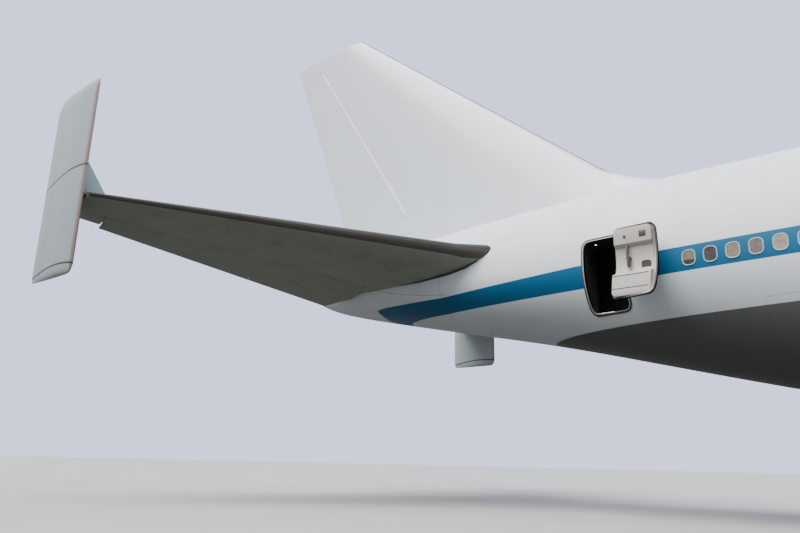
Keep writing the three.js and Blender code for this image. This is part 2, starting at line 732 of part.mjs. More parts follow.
// The wing gear: a shock strut up into the wing, its braces, torque links and door, and its truck
function wingGear(sign) {
  const { station } = WING_GEAR;
  const side = sign * WING_GEAR.side;
  const doorSide = side + sign * GEAR_DOOR.away;
  const elbow = [station + 0.42, side, 1.15];
  return join(
    truckBeam({ station, side }),
    rod([station, side, TRUCK_HEIGHT + 0.1], [station, side, 1.45], 0.14),
    rod([station, side, 1.3], [station, side, 3.3], 0.22, LEG_SIDES),
    rod([station, side, 1.9], [station, sign * 3.9, 2.9], 0.1),
    rod([station, side, 1.6], [station - 1.7, side, 2.9], 0.08),
    rod([station + 0.1, side, 0.85], elbow, LINK_RADIUS, LINK_SIDES),
    rod(elbow, [station + 0.15, side, 1.5], LINK_RADIUS, LINK_SIDES),
    block(
      [station - GEAR_DOOR.ahead, station + GEAR_DOOR.behind],
      [doorSide - GEAR_DOOR.half, doorSide + GEAR_DOOR.half],
      [GEAR_DOOR.foot, GEAR_DOOR.top],
    ),
    rod([station, side, 1.6], [station, doorSide, 1.7], LINK_RADIUS, LINK_SIDES),
    rod([station, side, 2.3], [station, doorSide, 2.35], LINK_RADIUS, LINK_SIDES),
  );
}

const KINGPIN_RADIUS = 0.1;
const KINGPIN_BASE = TRUCK_HEIGHT + 0.16;
const KINGPIN_TOP = KINGPIN_BASE + 0.3;
const WELL_TOP = 2.75;

// The body gear's leg, which stands in a well in the fairing and holds the truck's kingpin
function bodyGearLeg(sign) {
  const { station } = BODY_GEAR;
  const side = sign * BODY_GEAR.side;
  const leg = join(
    rod([station, side, KINGPIN_BASE + PIN_GAP], [station, side, 1.5], 0.16, LEG_SIDES),
    rod([station, side, 1.4], [station, side, WELL_TOP - SEAM], 0.22, LEG_SIDES),
    rod([station, side, 1.35], [station - 1.1, side, WELL_TOP - 0.15], 0.08),
    rod([station, side, 1.5], [station, side - sign * 0.5, WELL_TOP - 0.15], 0.08),
  );
  const bore = rod(
    [station, side, KINGPIN_BASE - 0.1],
    [station, side, KINGPIN_TOP + PIN_GAP],
    (KINGPIN_RADIUS + PIN_GAP) / Math.cos(Math.PI / BORE_SIDES),
    BORE_SIDES,
  );
  return cut(leg, bore);
}

const bodyGearWell = (sign) =>
  block(
    [BODY_GEAR.station - 1.3, BODY_GEAR.station + 0.55],
    [sign * BODY_GEAR.side - 0.62, sign * BODY_GEAR.side + 0.62],
    [1.5, WELL_TOP],
  );

const bodyGearTruck = ({ station, side }) =>
  join(
    truckBeam({ station, side }),
    rod([station, side, TRUCK_HEIGHT], [station, side, KINGPIN_TOP], KINGPIN_RADIUS, BORE_SIDES),
  );

const NOSE_WELL = { stations: [5.2, 8.6], half: 0.62, top: 3.1 };
const NOSE_PISTON = { base: 1.55, top: 2.3, radius: 0.11 };
const NOSE_BRACE_REACH = 1.7;

// The nose leg's outer cylinder, its drag brace, and the trunnion bar that meets the well's walls
function noseGearStrut() {
  const { station } = NOSE_GEAR;
  const { half, top } = NOSE_WELL;
  const ahead = station - NOSE_BRACE_REACH;
  const leg = join(
    rod([station, 0, NOSE_PISTON.base], [station, 0, top - SEAM], 0.19, LEG_SIDES),
    rod([station, 0, 1.75], [ahead, 0, top - 0.12], 0.09),
    rod([ahead, -half + SEAM, top - 0.2], [ahead, half - SEAM, top - 0.2], 0.07),
  );
  const bore = rod(
    [station, 0, NOSE_PISTON.base - 0.1],
    [station, 0, NOSE_PISTON.top],
    (NOSE_PISTON.radius + PIN_GAP) / Math.cos(Math.PI / BORE_SIDES),
    BORE_SIDES,
  );
  return cut(leg, bore);
}

// What turns with the nose wheels: the piston, its collar, the torque links and the axle's block
function noseGearFork() {
  const { station, radius } = NOSE_GEAR;
  const { base, top, radius: piston } = NOSE_PISTON;
  const elbow = [station - 0.42, 0, 1.02];
  const fork = join(
    rod([station, 0, radius], [station, 0, top - PIN_GAP], piston, BORE_SIDES),
    rod([station, 0, base - 0.22], [station, 0, base - PIN_GAP], 0.21, LEG_SIDES),
    block([station - 0.15, station + 0.15], [-0.16, 0.16], [radius - 0.16, radius + 0.16]),
    rod([station - 0.1, 0, radius + 0.1], elbow, LINK_RADIUS, LINK_SIDES),
    rod(elbow, [station - 0.12, 0, base - 0.12], LINK_RADIUS, LINK_SIDES),
    block([station - 0.4, station - 0.3], [-0.24, 0.24], [1.3, 1.42]),
    rod([station - 0.1, 0, 1.36], [station - 0.35, 0, 1.36], LINK_RADIUS, LINK_SIDES),
  );
  return cut(fork, axleBore(station, 0, radius));
}

const noseWell = () =>
  block(NOSE_WELL.stations, [-NOSE_WELL.half, NOSE_WELL.half], [1.5, NOSE_WELL.top]);

// A nose gear door hangs from the edge of its well, so it is one piece with the nose section
function noseGearDoor(sign) {
  const side = sign * (NOSE_WELL.half + 0.05);
  const [front, rear] = NOSE_WELL.stations;
  return block([front + 0.1, rear], [side - 0.03, side + 0.03], [1.38, 2.6]);
}

// Doorway

// The last door on the right: the middle of its opening, its sill, and its real size
const DOOR = { station: 54.62, sill: 5.17, width: 1.12, height: 1.93, corner: 0.16 };
const VESTIBULE_DEPTH = 1.5;
const DOOR_THICK = 0.14;

// A rounded rectangle in the side view, extruded across the aircraft
function doorShape(middle, grow, from, to) {
  const [w, h] = [(DOOR.width / 2 + grow) * MM, (DOOR.height / 2 + grow) * MM];
  const r = (DOOR.corner + grow) * MM;
  const outline = new THREE.Shape()
    .moveTo(-w + r, -h)
    .lineTo(w - r, -h)
    .absarc(w - r, -h + r, r, -Math.PI / 2, 0)
    .lineTo(w, h - r)
    .absarc(w - r, h - r, r, 0, Math.PI / 2)
    .lineTo(-w + r, h)
    .absarc(-w + r, h - r, r, Math.PI / 2, Math.PI)
    .lineTo(-w, -h + r)
    .absarc(-w + r, -h + r, r, Math.PI, 1.5 * Math.PI);
  const geometry = new THREE.ExtrudeGeometry(outline, {
    depth: (to - from) * MM,
    bevelEnabled: false,
    curveSegments: 3,
  });
  const origin = P(middle, 0, DOOR.sill + DOOR.height / 2);
  geometry.rotateX(Math.PI / 2);
  return solid(geometry.translate(origin.x, to * MM, origin.z));
}

// The open door: swung forward and turned over, its lining faces out. It is cut from the body's
// own skin, turned half round the hinge line at the doorway's front edge.
const HINGE_STATION = DOOR.station - DOOR.width / 2 + 0.01;
const HINGE_SIDE = -3.12;
const ARM_RADIUS = 0.035;

function openDoor() {
  const skin = cut(body(52.0, JOIN_AFT), body(52.0, JOIN_AFT, -DOOR_THICK));
  const closed = doorShape(DOOR.station, -0.01, -4, -1.5).intersect(skin);
  const pivot = P(HINGE_STATION, HINGE_SIDE, 0);
  const geometry = geometryOf(closed)
    .translate(-pivot.x, -pivot.y, 0)
    .rotateZ(Math.PI)
    .translate(pivot.x, pivot.y, 0);
  return solid(geometry);
}

// The two goose-neck arms that hold the door to the front jamb
function doorArms() {
  const jamb = DOOR.station - DOOR.width / 2 + ARM_RADIUS + SEAM;
  const heights = [DOOR.sill + 0.68, DOOR.sill + 1.53];
  return heights.flatMap((height) => [
    rod([jamb, -2.7, height], [jamb, -3.25, height], ARM_RADIUS, 8),
    rod([jamb, -3.22, height], [HINGE_STATION - 0.2, -3.34, height], ARM_RADIUS, 8),
  ]);
}

// Struts that carry the load above the body

const FRONT_PAD = { station: 18.3, side: 0, height: 11.35 };
const REAR_PAD = { station: 41.9, side: 2.45, height: 10.05 };
const PAD_HALF = 0.26;
const PAD_THICK = 0.22;

const pad = (station, side, height) =>
  block(
    [station - PAD_HALF, station + PAD_HALF],
    [side - PAD_HALF, side + PAD_HALF],
    [height - PAD_THICK, height],
  );

function frontStrut() {
  const { station, height } = FRONT_PAD;
  return join(
    pad(station, 0, height),
    rod([station, 1.15, 8.9], [station, 0.12, height - 0.1], 0.13),
    rod([station, -1.15, 8.9], [station, -0.12, height - 0.1], 0.13),
    rod([station + 2.1, 0, 9.2], [station, 0, height - 0.12], 0.1),
  );
}

function rearStrut(sign) {
  const { station, height } = REAR_PAD;
  const side = sign * REAR_PAD.side;
  return join(
    pad(station, side, height),
    rod([station, side, 7.6], [station, side, height - 0.1], 0.17),
    rod([station, sign * 0.9, 8.7], [station, side, height - 0.12], 0.11),
    rod([station - 1.9, side, 7.6], [station, side, height - 0.12], 0.11),
  );
}

// Assembly

const FINISHES = {
  white: { color: 0xe4e9e8, roughness: 0.35, metalness: 0.0 },
  grey: { color: 0x8d9492, roughness: 0.5, metalness: 0.1 },
  metal: { color: 0xa9adae, roughness: 0.35, metalness: 0.9 },
  dark: { color: 0x303335, roughness: 0.5, metalness: 0.7 },
  tyre: { color: 0x1d1d1e, roughness: 0.9, metalness: 0.0 },
};

const aircraft = new THREE.Group();

function add(name, shape, finish) {
  const mesh = new THREE.Mesh(geometryOf(shape), new THREE.MeshStandardMaterial(FINISHES[finish]));
  mesh.name = name;
  aircraft.add(mesh);
}

// A hinged surface turned about its hinge line to where it hangs at rest
function drooped({ surface, start, axis, droop }, sign) {
  if (!droop) return surface;
  const turn = new THREE.Quaternion().setFromAxisAngle(axis, -radians(droop) * sign);
  const geometry = geometryOf(surface)
    .translate(-start.x, -start.y, -start.z)
    .applyQuaternion(turn)
    .translate(start.x, start.y, start.z);
  return solid(geometry);
}

const fairingRoom = fairing(SEAM);
const bodyRoom = (from, to) => body(from, to, SEAM);
const SECTION_NAMES = [
  ["nose_section", 0, JOIN_NOSE],
  ["forward_body", JOIN_NOSE, JOIN_FORWARD],
  ["centre_body", JOIN_FORWARD, JOIN_CENTRE],
  ["aft_body", JOIN_CENTRE, JOIN_AFT],
  ["tail_body", JOIN_AFT, 70],
];
const doorway = doorShape(DOOR.station, 0, -4, -3 + VESTIBULE_DEPTH);
const noseDoors = [noseGearDoor(LEFT), noseGearDoor(RIGHT)];
for (const [name, from, to] of SECTION_NAMES) {
  let shape = cut(body(from, to), fairingRoom);
  if (from > 0) shape = cut(shape, block([from - 1, from + SEAM], [-4, 4], [0, 12]));
  if (name === "nose_section") shape = join(cut(shape, noseWell()), noseDoors);
  if (name === "aft_body") shape = cut(shape, doorway);
  add(name, shape, "white");
}
add("belly_fairing", cut(fairing(), bodyGearWell(LEFT), bodyGearWell(RIGHT)), "grey");
add("nose_gear_strut", noseGearStrut(), "metal");
add("nose_gear_fork", noseGearFork(), "metal");
add("nose_wheels", wheelPair(NOSE_GEAR.station, 0, NOSE_GEAR.radius, NOSE_GEAR.halfTrack), "tyre");

const fin = FIN_SECTIONS;
const rudders = RUDDERS.map((rudder) => [rudder.name, hinged(fin, rudder)]);
add(
  "fin",
  cut(join(panel(fin), dorsal()), rudders.flatMap(([, part]) => part.room), bodyRoom(46, 70)),
  "white",
);
for (const [name, part] of rudders) add(name, part.surface, "white");

for (const [word, sign] of SIDES) {
  const wing = wingSections(sign);
  const outer = wing.slice(1, 3);
  const ailerons = AILERONS.map((aileron) => [aileron.name, hinged(outer, aileron)]);
  const pods = TRACK_PODS.map((pod) => trackPod(sign, pod));
  const rooms = ailerons.flatMap(([, part]) => part.room);
  add("wing_" + word, cut(join(panel(wing), pods), rooms), "grey");
  for (const [name, part] of ailerons) add(name + "_" + word, part.surface, "grey");
  const wingRoom = panel(wing, SEAM);

  for (const engine of ENGINES) {
    const tag = engine.name + "_" + word;
    add("cowl_" + tag, cowl(sign, engine), "white");
    add("core_" + tag, core(sign, engine), "dark");
    add("fan_" + tag, fan(sign, engine), "metal");
    const room = [wingRoom, cowl(sign, engine, SEAM), coreBarrel(sign, engine, SEAM)];
    add("pylon_" + tag, cut(pylon(sign, engine), room), "white");
  }

  const tail = tailSections(sign);
  const elevators = ELEVATORS.map((elevator) => [elevator.name, hinged(tail, elevator)]);
  const tailRoom = elevators.flatMap(([, part]) => part.room);
  const plate = endPlate(sign);
  add("tailplane_" + word, cut(panel(tail), tailRoom, bodyRoom(46, 70), plate), "grey");
  for (const [name, part] of elevators) add(name + "_" + word, drooped(part, sign), "grey");
  add("end_plate_" + word, cut(join(plate, gusset(sign)), panel(tail, SEAM)), "white");

  add("wing_gear_" + word, cut(wingGear(sign), wingRoom, fairingRoom), "metal");
  add("body_gear_" + word, bodyGearLeg(sign), "metal");
  const bodyTruck = { station: BODY_GEAR.station, side: sign * BODY_GEAR.side };
  add("body_truck_" + word, bodyGearTruck(bodyTruck), "metal");
  for (const [gear, { station, side }] of [
    ["wing", WING_GEAR],
    ["body", BODY_GEAR],
  ]) {
    for (const [row, end] of [
      ["front", -1],
      ["rear", 1],
    ]) {
      const name = [gear, "wheels", row, word].join("_");
      add(name, wheelPair(station + end * TRUCK_HALF_BASE, sign * side), "tyre");
    }
  }
  add("rear_strut_" + word, cut(rearStrut(sign), bodyRoom(JOIN_CENTRE, 46)), "white");
}
add("front_strut", cut(frontStrut(), bodyRoom(JOIN_NOSE, JOIN_FORWARD)), "white");
add("door", join(openDoor(), doorArms()), "white");

export default aircraft;
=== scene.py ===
import json
import math

import bmesh
import bpy
from mathutils import Matrix, Vector

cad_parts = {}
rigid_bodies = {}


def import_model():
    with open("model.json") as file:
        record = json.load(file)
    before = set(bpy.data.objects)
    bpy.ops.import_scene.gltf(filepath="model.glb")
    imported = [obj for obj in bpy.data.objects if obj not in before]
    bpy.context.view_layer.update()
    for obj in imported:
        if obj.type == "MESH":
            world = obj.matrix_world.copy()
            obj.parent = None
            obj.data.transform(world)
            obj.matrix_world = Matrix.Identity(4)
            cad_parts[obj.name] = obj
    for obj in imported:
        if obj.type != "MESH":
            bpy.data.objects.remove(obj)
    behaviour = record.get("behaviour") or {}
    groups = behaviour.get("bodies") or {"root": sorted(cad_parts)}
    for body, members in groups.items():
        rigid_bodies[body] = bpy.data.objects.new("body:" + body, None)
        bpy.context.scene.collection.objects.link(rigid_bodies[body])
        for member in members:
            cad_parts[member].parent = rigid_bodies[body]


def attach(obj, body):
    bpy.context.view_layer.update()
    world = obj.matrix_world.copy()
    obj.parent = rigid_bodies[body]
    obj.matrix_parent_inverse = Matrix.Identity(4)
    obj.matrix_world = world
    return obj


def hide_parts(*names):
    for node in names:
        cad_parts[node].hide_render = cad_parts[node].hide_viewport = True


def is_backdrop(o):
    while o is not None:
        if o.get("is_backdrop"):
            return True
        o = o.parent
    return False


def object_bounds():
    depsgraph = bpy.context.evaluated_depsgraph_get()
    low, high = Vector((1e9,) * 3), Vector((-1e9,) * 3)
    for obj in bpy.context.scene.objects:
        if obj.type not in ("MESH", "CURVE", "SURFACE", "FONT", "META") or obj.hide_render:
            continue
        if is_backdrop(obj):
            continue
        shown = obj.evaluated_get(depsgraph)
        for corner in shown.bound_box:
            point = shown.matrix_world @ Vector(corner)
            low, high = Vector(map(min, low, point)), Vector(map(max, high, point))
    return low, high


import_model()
cad_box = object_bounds()

MIDDLE = 35.33  # station of the model's origin
LEFT = 1
RIGHT = -1
SIDES = [("left", LEFT), ("right", RIGHT)]
AIRFRAME = "airframe"
UP = Vector((0, 0, 1))
AFT = Vector((-1, 0, 0))
OUT = Vector((0, 1, 0))


def place(station, side, height):
    """A place on the full-size aircraft, in the model's metres."""
    return Vector((MIDDLE - station, side, height)) / 2


def between(a, b, share):
    return a + (b - a) * share


# Modelling: an empty mesh is opened at the origin, primitives are added and shaped in it, and it
# is closed as a finished piece


def leave_mesh():
    bpy.ops.object.mode_set(mode="OBJECT")


def rest():
    """Leaves edit mode with nothing selected."""
    if bpy.context.object and bpy.context.object.mode == "EDIT":
        leave_mesh()
    bpy.ops.object.select_all(action="DESELECT")


def take(thing):
    """Makes one object the only selected one."""
    rest()
    bpy.context.view_layer.objects.active = thing
    thing.select_set(True)


def open_mesh():
    rest()
    bpy.ops.mesh.primitive_plane_add(size=1, location=(0, 0, 0), enter_editmode=True)
    bpy.ops.mesh.select_mode(type="VERT")
    bpy.ops.mesh.select_all(action="SELECT")
    bpy.ops.mesh.delete(type="VERT")


def reopen(thing):
    take(thing)
    bpy.ops.object.mode_set(mode="EDIT")
    bpy.ops.mesh.select_mode(type="VERT")
    bpy.ops.mesh.select_all(action="DESELECT")


def close_mesh(name):
    """Leaves edit mode and names the object."""
    leave_mesh()
    thing = bpy.context.object
    thing.name = name
    thing.data.name = name
    return thing


def pick(test):
    """Selects the open mesh's corners whose places pass the test."""
    mesh = bmesh.from_edit_mesh(bpy.context.object.data)
    for corner in mesh.verts:
        corner.select = bool(test(corner.co))
    mesh.select_mode = {"VERT"}
    mesh.select_flush_mode()
    bmesh.update_edit_mesh(bpy.context.object.data)


def pick_faces(test):
    """Selects the open mesh's faces whose middle and normal pass the test."""
    bpy.ops.mesh.select_mode(type="FACE")
    bpy.ops.mesh.select_all(action="DESELECT")
    mesh = bmesh.from_edit_mesh(bpy.context.object.data)
    for face in mesh.faces:
        face.select_set(bool(test(face.calc_center_median(), face.normal)))
    bmesh.update_edit_mesh(bpy.context.object.data)


def pick_all():
    bpy.ops.mesh.select_all(action="SELECT")


def stretch(x, y, z, middle):
    bpy.ops.transform.resize(value=(x, y, z), center_override=middle)


def shift(step):
    bpy.ops.transform.translate(value=step)


def turn(degrees, axis, middle):
    """Turns what is selected. Without a window the operator turns the other way."""
    angle = -math.radians(degrees)
    bpy.ops.transform.rotate(value=angle, orient_axis=axis, center_override=middle)


def extrude(step):
    bpy.ops.mesh.extrude_region_move(TRANSFORM_OT_translate={"value": step})


def face_outwards():
    bpy.ops.mesh.select_linked()
    bpy.ops.mesh.normals_make_consistent(inside=False)


def loft():
    """Joins the open mesh's rings to a closed shell."""
    pick_all()
    bpy.ops.mesh.bridge_edge_loops()
    pick_all()
    bpy.ops.mesh.fill_holes(sides=0)
    face_outwards()


def point(spot):
    bpy.ops.mesh.primitive_plane_add(size=0.01, location=spot)
    bpy.ops.mesh.merge(type="CENTER")


def chain(spots):
    """A line of corners through the given places, left selected."""
    point(spots[0])
    for before, after in zip(spots, spots[1:]):
        extrude(after - before)
    bpy.ops.mesh.select_linked()


def lathe(origin, axis, profile, steps=48):
    """Turns rows of (distance along the axis, radius) about the axis through the origin."""
    away = axis.orthogonal().normalized()
    chain([origin + axis * along + away * radius for along, radius in profile])
    bpy.ops.mesh.spin(steps=steps, angle=2 * math.pi, center=origin, axis=axis)
    bpy.ops.mesh.select_linked()
    bpy.ops.mesh.remove_doubles(threshold=1e-5)
    face_outwards()


def bar(start, end, radius, end_radius=None, sides=20):
    """A round bar or cone."""
    along = end - start
    bpy.ops.mesh.primitive_cone_add(
        vertices=sides,
        radius1=radius,
        radius2=radius if end_radius is None else end_radius,
        depth=along.length,
        location=(start + end) / 2,
        rotation=along.to_track_quat("Z", "Y").to_euler(),
    )


def beam(start, end, width, height):
    """A bar of rectangular section; width is across, height is as near upright as it can be."""
    along = end - start
    bpy.ops.mesh.primitive_cube_add(
        size=1,
        location=(start + end) / 2,
        rotation=along.to_track_quat("Z", "Y").to_euler(),
        scale=(width, height, along.length),
    )


def block(low, high):
    bpy.ops.mesh.primitive_cube_add(size=1, location=(low + high) / 2, scale=high - low)


def ball(spot, x, y, z, segments=24):
    """A round lump with the given half sizes."""
    bpy.ops.mesh.primitive_uv_sphere_add(
        segments=segments, ring_count=segments // 2, radius=1, location=spot
    )
    stretch(x, y, z, spot)


def slab(corners, step):
    """A flat outline, extruded by a step."""
    chain(corners)
    bpy.ops.mesh.edge_face_add()
    extrude(step)
    face_outwards()


def rounded(middle, width, height, corner, across, up, segments=5):
    """A flat rounded rectangle, centred on a place, in the plane of two directions."""
    turned = Matrix((across, up, across.cross(up))).transposed().to_euler()
    bpy.ops.mesh.primitive_plane_add(size=1, location=middle, rotation=turned)
    stretch(*[between(1, width, abs(part)) for part in across], middle)
    stretch(*[between(1, height, abs(part)) for part in up], middle)
    bpy.ops.mesh.bevel(affect="VERTICES", offset=corner, segments=segments)


# Whole objects


def apply(thing, kind, **settings):
    """Adds a modifier, sets it and applies it."""
    take(thing)
    modifier = thing.modifiers.new(kind.lower(), kind)
    for name, value in settings.items():
        setattr(modifier, name, value)
    bpy.ops.object.modifier_apply(modifier=modifier.name)
    return thing


def carve(thing, cutter, operation="DIFFERENCE", keep_cutter=False):
    apply(thing, "BOOLEAN", object=cutter, operation=operation, solver="EXACT")
    if not keep_cutter:
        bpy.data.objects.remove(cutter)
    return thing


def copy_of(thing, name):
    rest()
    twin = thing.copy()
    twin.data = thing.data.copy()
    bpy.context.scene.collection.objects.link(twin)
    twin.name = name
    twin.data.name = name
    return twin


def moved(thing, matrix):
    """Moves an object and puts its new place into its mesh."""
    take(thing)
    thing.matrix_world = matrix
    bpy.ops.object.transform_apply(location=True, rotation=True, scale=True)
    return thing


def mirrored(thing, name):
    """A copy of an object on the other side of the centre line, its faces turned back outwards."""
    twin = copy_of(thing, name)
    reopen(twin)
    pick_all()
    stretch(1, -1, 1, (0, 0, 0))
    bpy.ops.mesh.flip_normals()
    leave_mesh()
    return twin


def joined(things, name):
    """Several objects as one."""
    take(things[0])
    for thing in things:
        thing.select_set(True)
    bpy.ops.object.join()
    whole = bpy.context.object
    whole.name = name
    whole.data.name = name
    return whole


def softened(thing, width, segments=2, angle=40):
    """Rounds an object's sharp edges."""
    limit = math.radians(angle)
    return apply(thing, "BEVEL", width=width, segments=segments, angle_limit=limit)


def finished(thing, body, slot, material, *nodes, smooth=35):
    """A piece with its finish, riding on its body, in the place of the nodes it stands for."""
    take(thing)
    bpy.ops.object.shade_smooth_by_angle(angle=math.radians(smooth))
    if material:
        thing.data.materials.clear()
        thing.data.materials.append(material)
    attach(thing, body)
    if nodes:
        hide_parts(*nodes)
    return thing


def fitting(thing, paint, smooth=35):
    """A piece that belongs to the body and takes the place of no node."""
    return finished(thing, AIRFRAME, "body_paint", PAINT[paint], smooth=smooth)


# Finishes: wires between shader nodes, and the effects that several finishes share


class Wires:
    """Adds nodes to a tree. A value for a socket is either a number, a colour or another socket."""

    def __init__(self, tree):
        self.tree = tree

    def add(self, kind, settings=None, **values):
        node = self.tree.nodes.new(kind)
        for name, value in (settings or {}).items():
            setattr(node, name, value)
        for name, value in values.items():
            self.feed(node.inputs[name.replace("_", " ")], value)
        return node

    def feed(self, socket, value):
        if isinstance(value, bpy.types.NodeSocket):
            self.tree.links.new(value, socket)
        else:
            socket.default_value = value

    def maths(self, operation, first, second=0.0, third=0.0, clamp=False):
        node = self.add("ShaderNodeMath", {"operation": operation, "use_clamp": clamp})
        for socket, value in zip(node.inputs, (first, second, third)):
            self.feed(socket, value)
        return node.outputs[0]

    def times(self, first, second):
        return self.maths("MULTIPLY", first, second)

    def less(self, first, second):
        return self.maths("SUBTRACT", first, second)

    def ramp(self, value, low, high, start=0.0, end=1.0):
        """The value's share of the way from low to high, held within start and end."""
        node = self.add("ShaderNodeMapRange")
        for name, number in (
            ("Value", value),
            ("From Min", low),
            ("From Max", high),
            ("To Min", start),
            ("To Max", end),
        ):
            self.feed(node.inputs[name], number)
        return node.outputs["Result"]

    def fall(self, value, low, high):
        """One up to low, then falling to none at high."""
        return self.ramp(value, low, high, 1.0, 0.0)

    def blend(self, share, first, second):
        """One colour turning into another."""
        node = self.add("ShaderNodeMix", {"data_type": "RGBA"})
        for index, value in ((0, share), (6, first), (7, second)):
            self.feed(node.inputs[index], value)
        return node.outputs[2]

    def toned(self, colour, tone):
        """A colour made lighter or darker by a number."""
        node = self.add("ShaderNodeVectorMath", {"operation": "SCALE"})
        linked = isinstance(colour, bpy.types.NodeSocket)
        self.feed(node.inputs[0], colour if linked else colour[:3])
        self.feed(node.inputs["Scale"], tone)
        return node.outputs[0]

    def axes(self, position):
        return self.add("ShaderNodeSeparateXYZ", Vector=position).outputs

    def noise(self, position, scale, detail=3.0, stretch=(1, 1, 1)):
        scaled = self.add("ShaderNodeMapping", Vector=position, Scale=stretch).outputs[0]
        return self.add(
            "ShaderNodeTexNoise", Vector=scaled, Scale=scale, Detail=detail
        ).outputs["Fac"]

    def effect(self, group, **values):
        """Places a shared effect and returns its outputs."""
        node = self.add("ShaderNodeGroup", {"node_tree": group})
        for name, value in values.items():
            self.feed(node.inputs[name.replace("_", " ")], value)
        return node.outputs


def shared_effect(name, inputs, outputs):
    """An empty node group with named sockets; returns its wires, what comes in and what goes out."""
    tree = bpy.data.node_groups.new(name, "ShaderNodeTree")
    for label, kind in inputs:
        tree.interface.new_socket(label, in_out="INPUT", socket_type="NodeSocket" + kind)
    for label, kind in outputs:
        tree.interface.new_socket(label, in_out="OUTPUT", socket_type="NodeSocket" + kind)
    wires = Wires(tree)
    return wires, wires.add("NodeGroupInput").outputs, wires.add("NodeGroupOutput").inputs


def weathering_effect():
    """Uneven paint with rain streaks, grime and a fine skin texture."""
    wires, given, out = shared_effect(
        "weathering",
        [("Position", "Vector"), ("Patches", "Float"), ("Streaks", "Float"), ("Grime", "Float")],
        [("Tone", "Float"), ("Dirt", "Float"), ("Rough", "Float"), ("Relief", "Float")],
    )
    position = given["Position"]
    patches = wires.noise(position, 0.7, 4.0)
    streaks = wires.noise(position, 2.4, 5.0, (1, 1, 0.09))
    specks = wires.noise(position, 26.0, 3.0)
    pull = wires.maths("MULTIPLY_ADD", patches, given["Patches"], 1.0)
    pull = wires.less(pull, wires.times(given["Patches"], 0.5))
    runs = wires.times(wires.ramp(streaks, 0.5, 0.74), given["Streaks"])
    wires.feed(out["Tone"], wires.less(pull, runs))
    spread = wires.times(wires.ramp(patches, 0.42, 0.72), wires.ramp(specks, 0.3, 0.7))
    wires.feed(out["Dirt"], wires.times(spread, given["Grime"]))
    wires.feed(out["Rough"], wires.ramp(specks, 0.3, 0.75, -0.05, 0.07))
    wires.feed(out["Relief"], wires.times(wires.noise(position, 90.0, 2.0), 0.25))
    return wires.tree


def hairline_effect():
    """A thin line where a value passes a place."""
    wires, given, out = shared_effect(
        "hairline",
        [("Value", "Float"), ("At", "Float"), ("Width", "Float")],
        [("Line", "Float")],
    )
    away = wires.maths("ABSOLUTE", wires.less(given["Value"], given["At"]))
    half = wires.times(given["Width"], 0.5)
    wires.feed(out["Line"], wires.fall(away, half, given["Width"]))
    return wires.tree


def repeated_line_effect():
    """Thin lines at equal steps of a value."""
    wires, given, out = shared_effect(
        "repeated line",
        [("Value", "Float"), ("Spacing", "Float"), ("Width", "Float")],
        [("Line", "Float")],
    )
    half = wires.times(given["Spacing"], 0.5)
    away = wires.maths("PINGPONG", given["Value"], half)
    edge = wires.times(given["Width"], 0.5)
    wires.feed(out["Line"], wires.fall(away, edge, given["Width"]))
    return wires.tree


def outline_effect():
    """The outline of a rounded rectangle in the side view, and its inside."""
    wires, given, out = shared_effect(
        "outline",
        [
            ("Across", "Float"),
            ("Up", "Float"),
            ("Half Width", "Float"),
            ("Half Height", "Float"),
            ("Corner", "Float"),
            ("Width", "Float"),
        ],
        [("Line", "Float"), ("Inside", "Float")],
    )
    beyond = []
    for value, half in (("Across", "Half Width"), ("Up", "Half Height")):
        inner = wires.less(given[half], given["Corner"])
        beyond.append(wires.less(wires.maths("ABSOLUTE", given[value]), inner))
    squares = [
        wires.maths("POWER", wires.maths("MAXIMUM", part, 0.0), 2.0) for part in beyond
    ]
    reach = wires.maths("SQRT", wires.maths("ADD", *squares))
    within = wires.maths("MINIMUM", wires.maths("MAXIMUM", *beyond), 0.0)
    gap = wires.less(wires.maths("ADD", reach, within), given["Corner"])
    edge = wires.maths("ABSOLUTE", gap)
    half = wires.times(given["Width"], 0.5)
    wires.feed(out["Line"], wires.fall(edge, half, given["Width"]))
    wires.feed(out["Inside"], wires.fall(gap, -0.001, 0.001))
    return wires.tree


def chord_effect():
    """Where a place lies on a tapered panel: its span, its share of the chord, and metres aft."""
    wires, given, out = shared_effect(
        "chord",
        [
            ("Forward", "Float"),
            ("Span", "Float"),
            ("Lead", "Float"),
            ("Sweep", "Float"),
            ("Chord", "Float"),
            ("Taper", "Float"),
        ],
        [("Share", "Float"), ("Aft", "Float")],
    )
    back = wires.times(given["Span"], given["Sweep"])
    lead = wires.less(given["Lead"], back)
    aft = wires.less(lead, given["Forward"])
    narrowing = wires.times(given["Span"], given["Taper"])
    chord = wires.less(given["Chord"], narrowing)
    wires.feed(out["Share"], wires.maths("DIVIDE", aft, chord))
    wires.feed(out["Aft"], aft)
    return wires.tree


WEATHERING = weathering_effect()
HAIRLINE = hairline_effect()
REPEATED_LINE = repeated_line_effect()
OUTLINE = outline_effect()
CHORD = chord_effect()


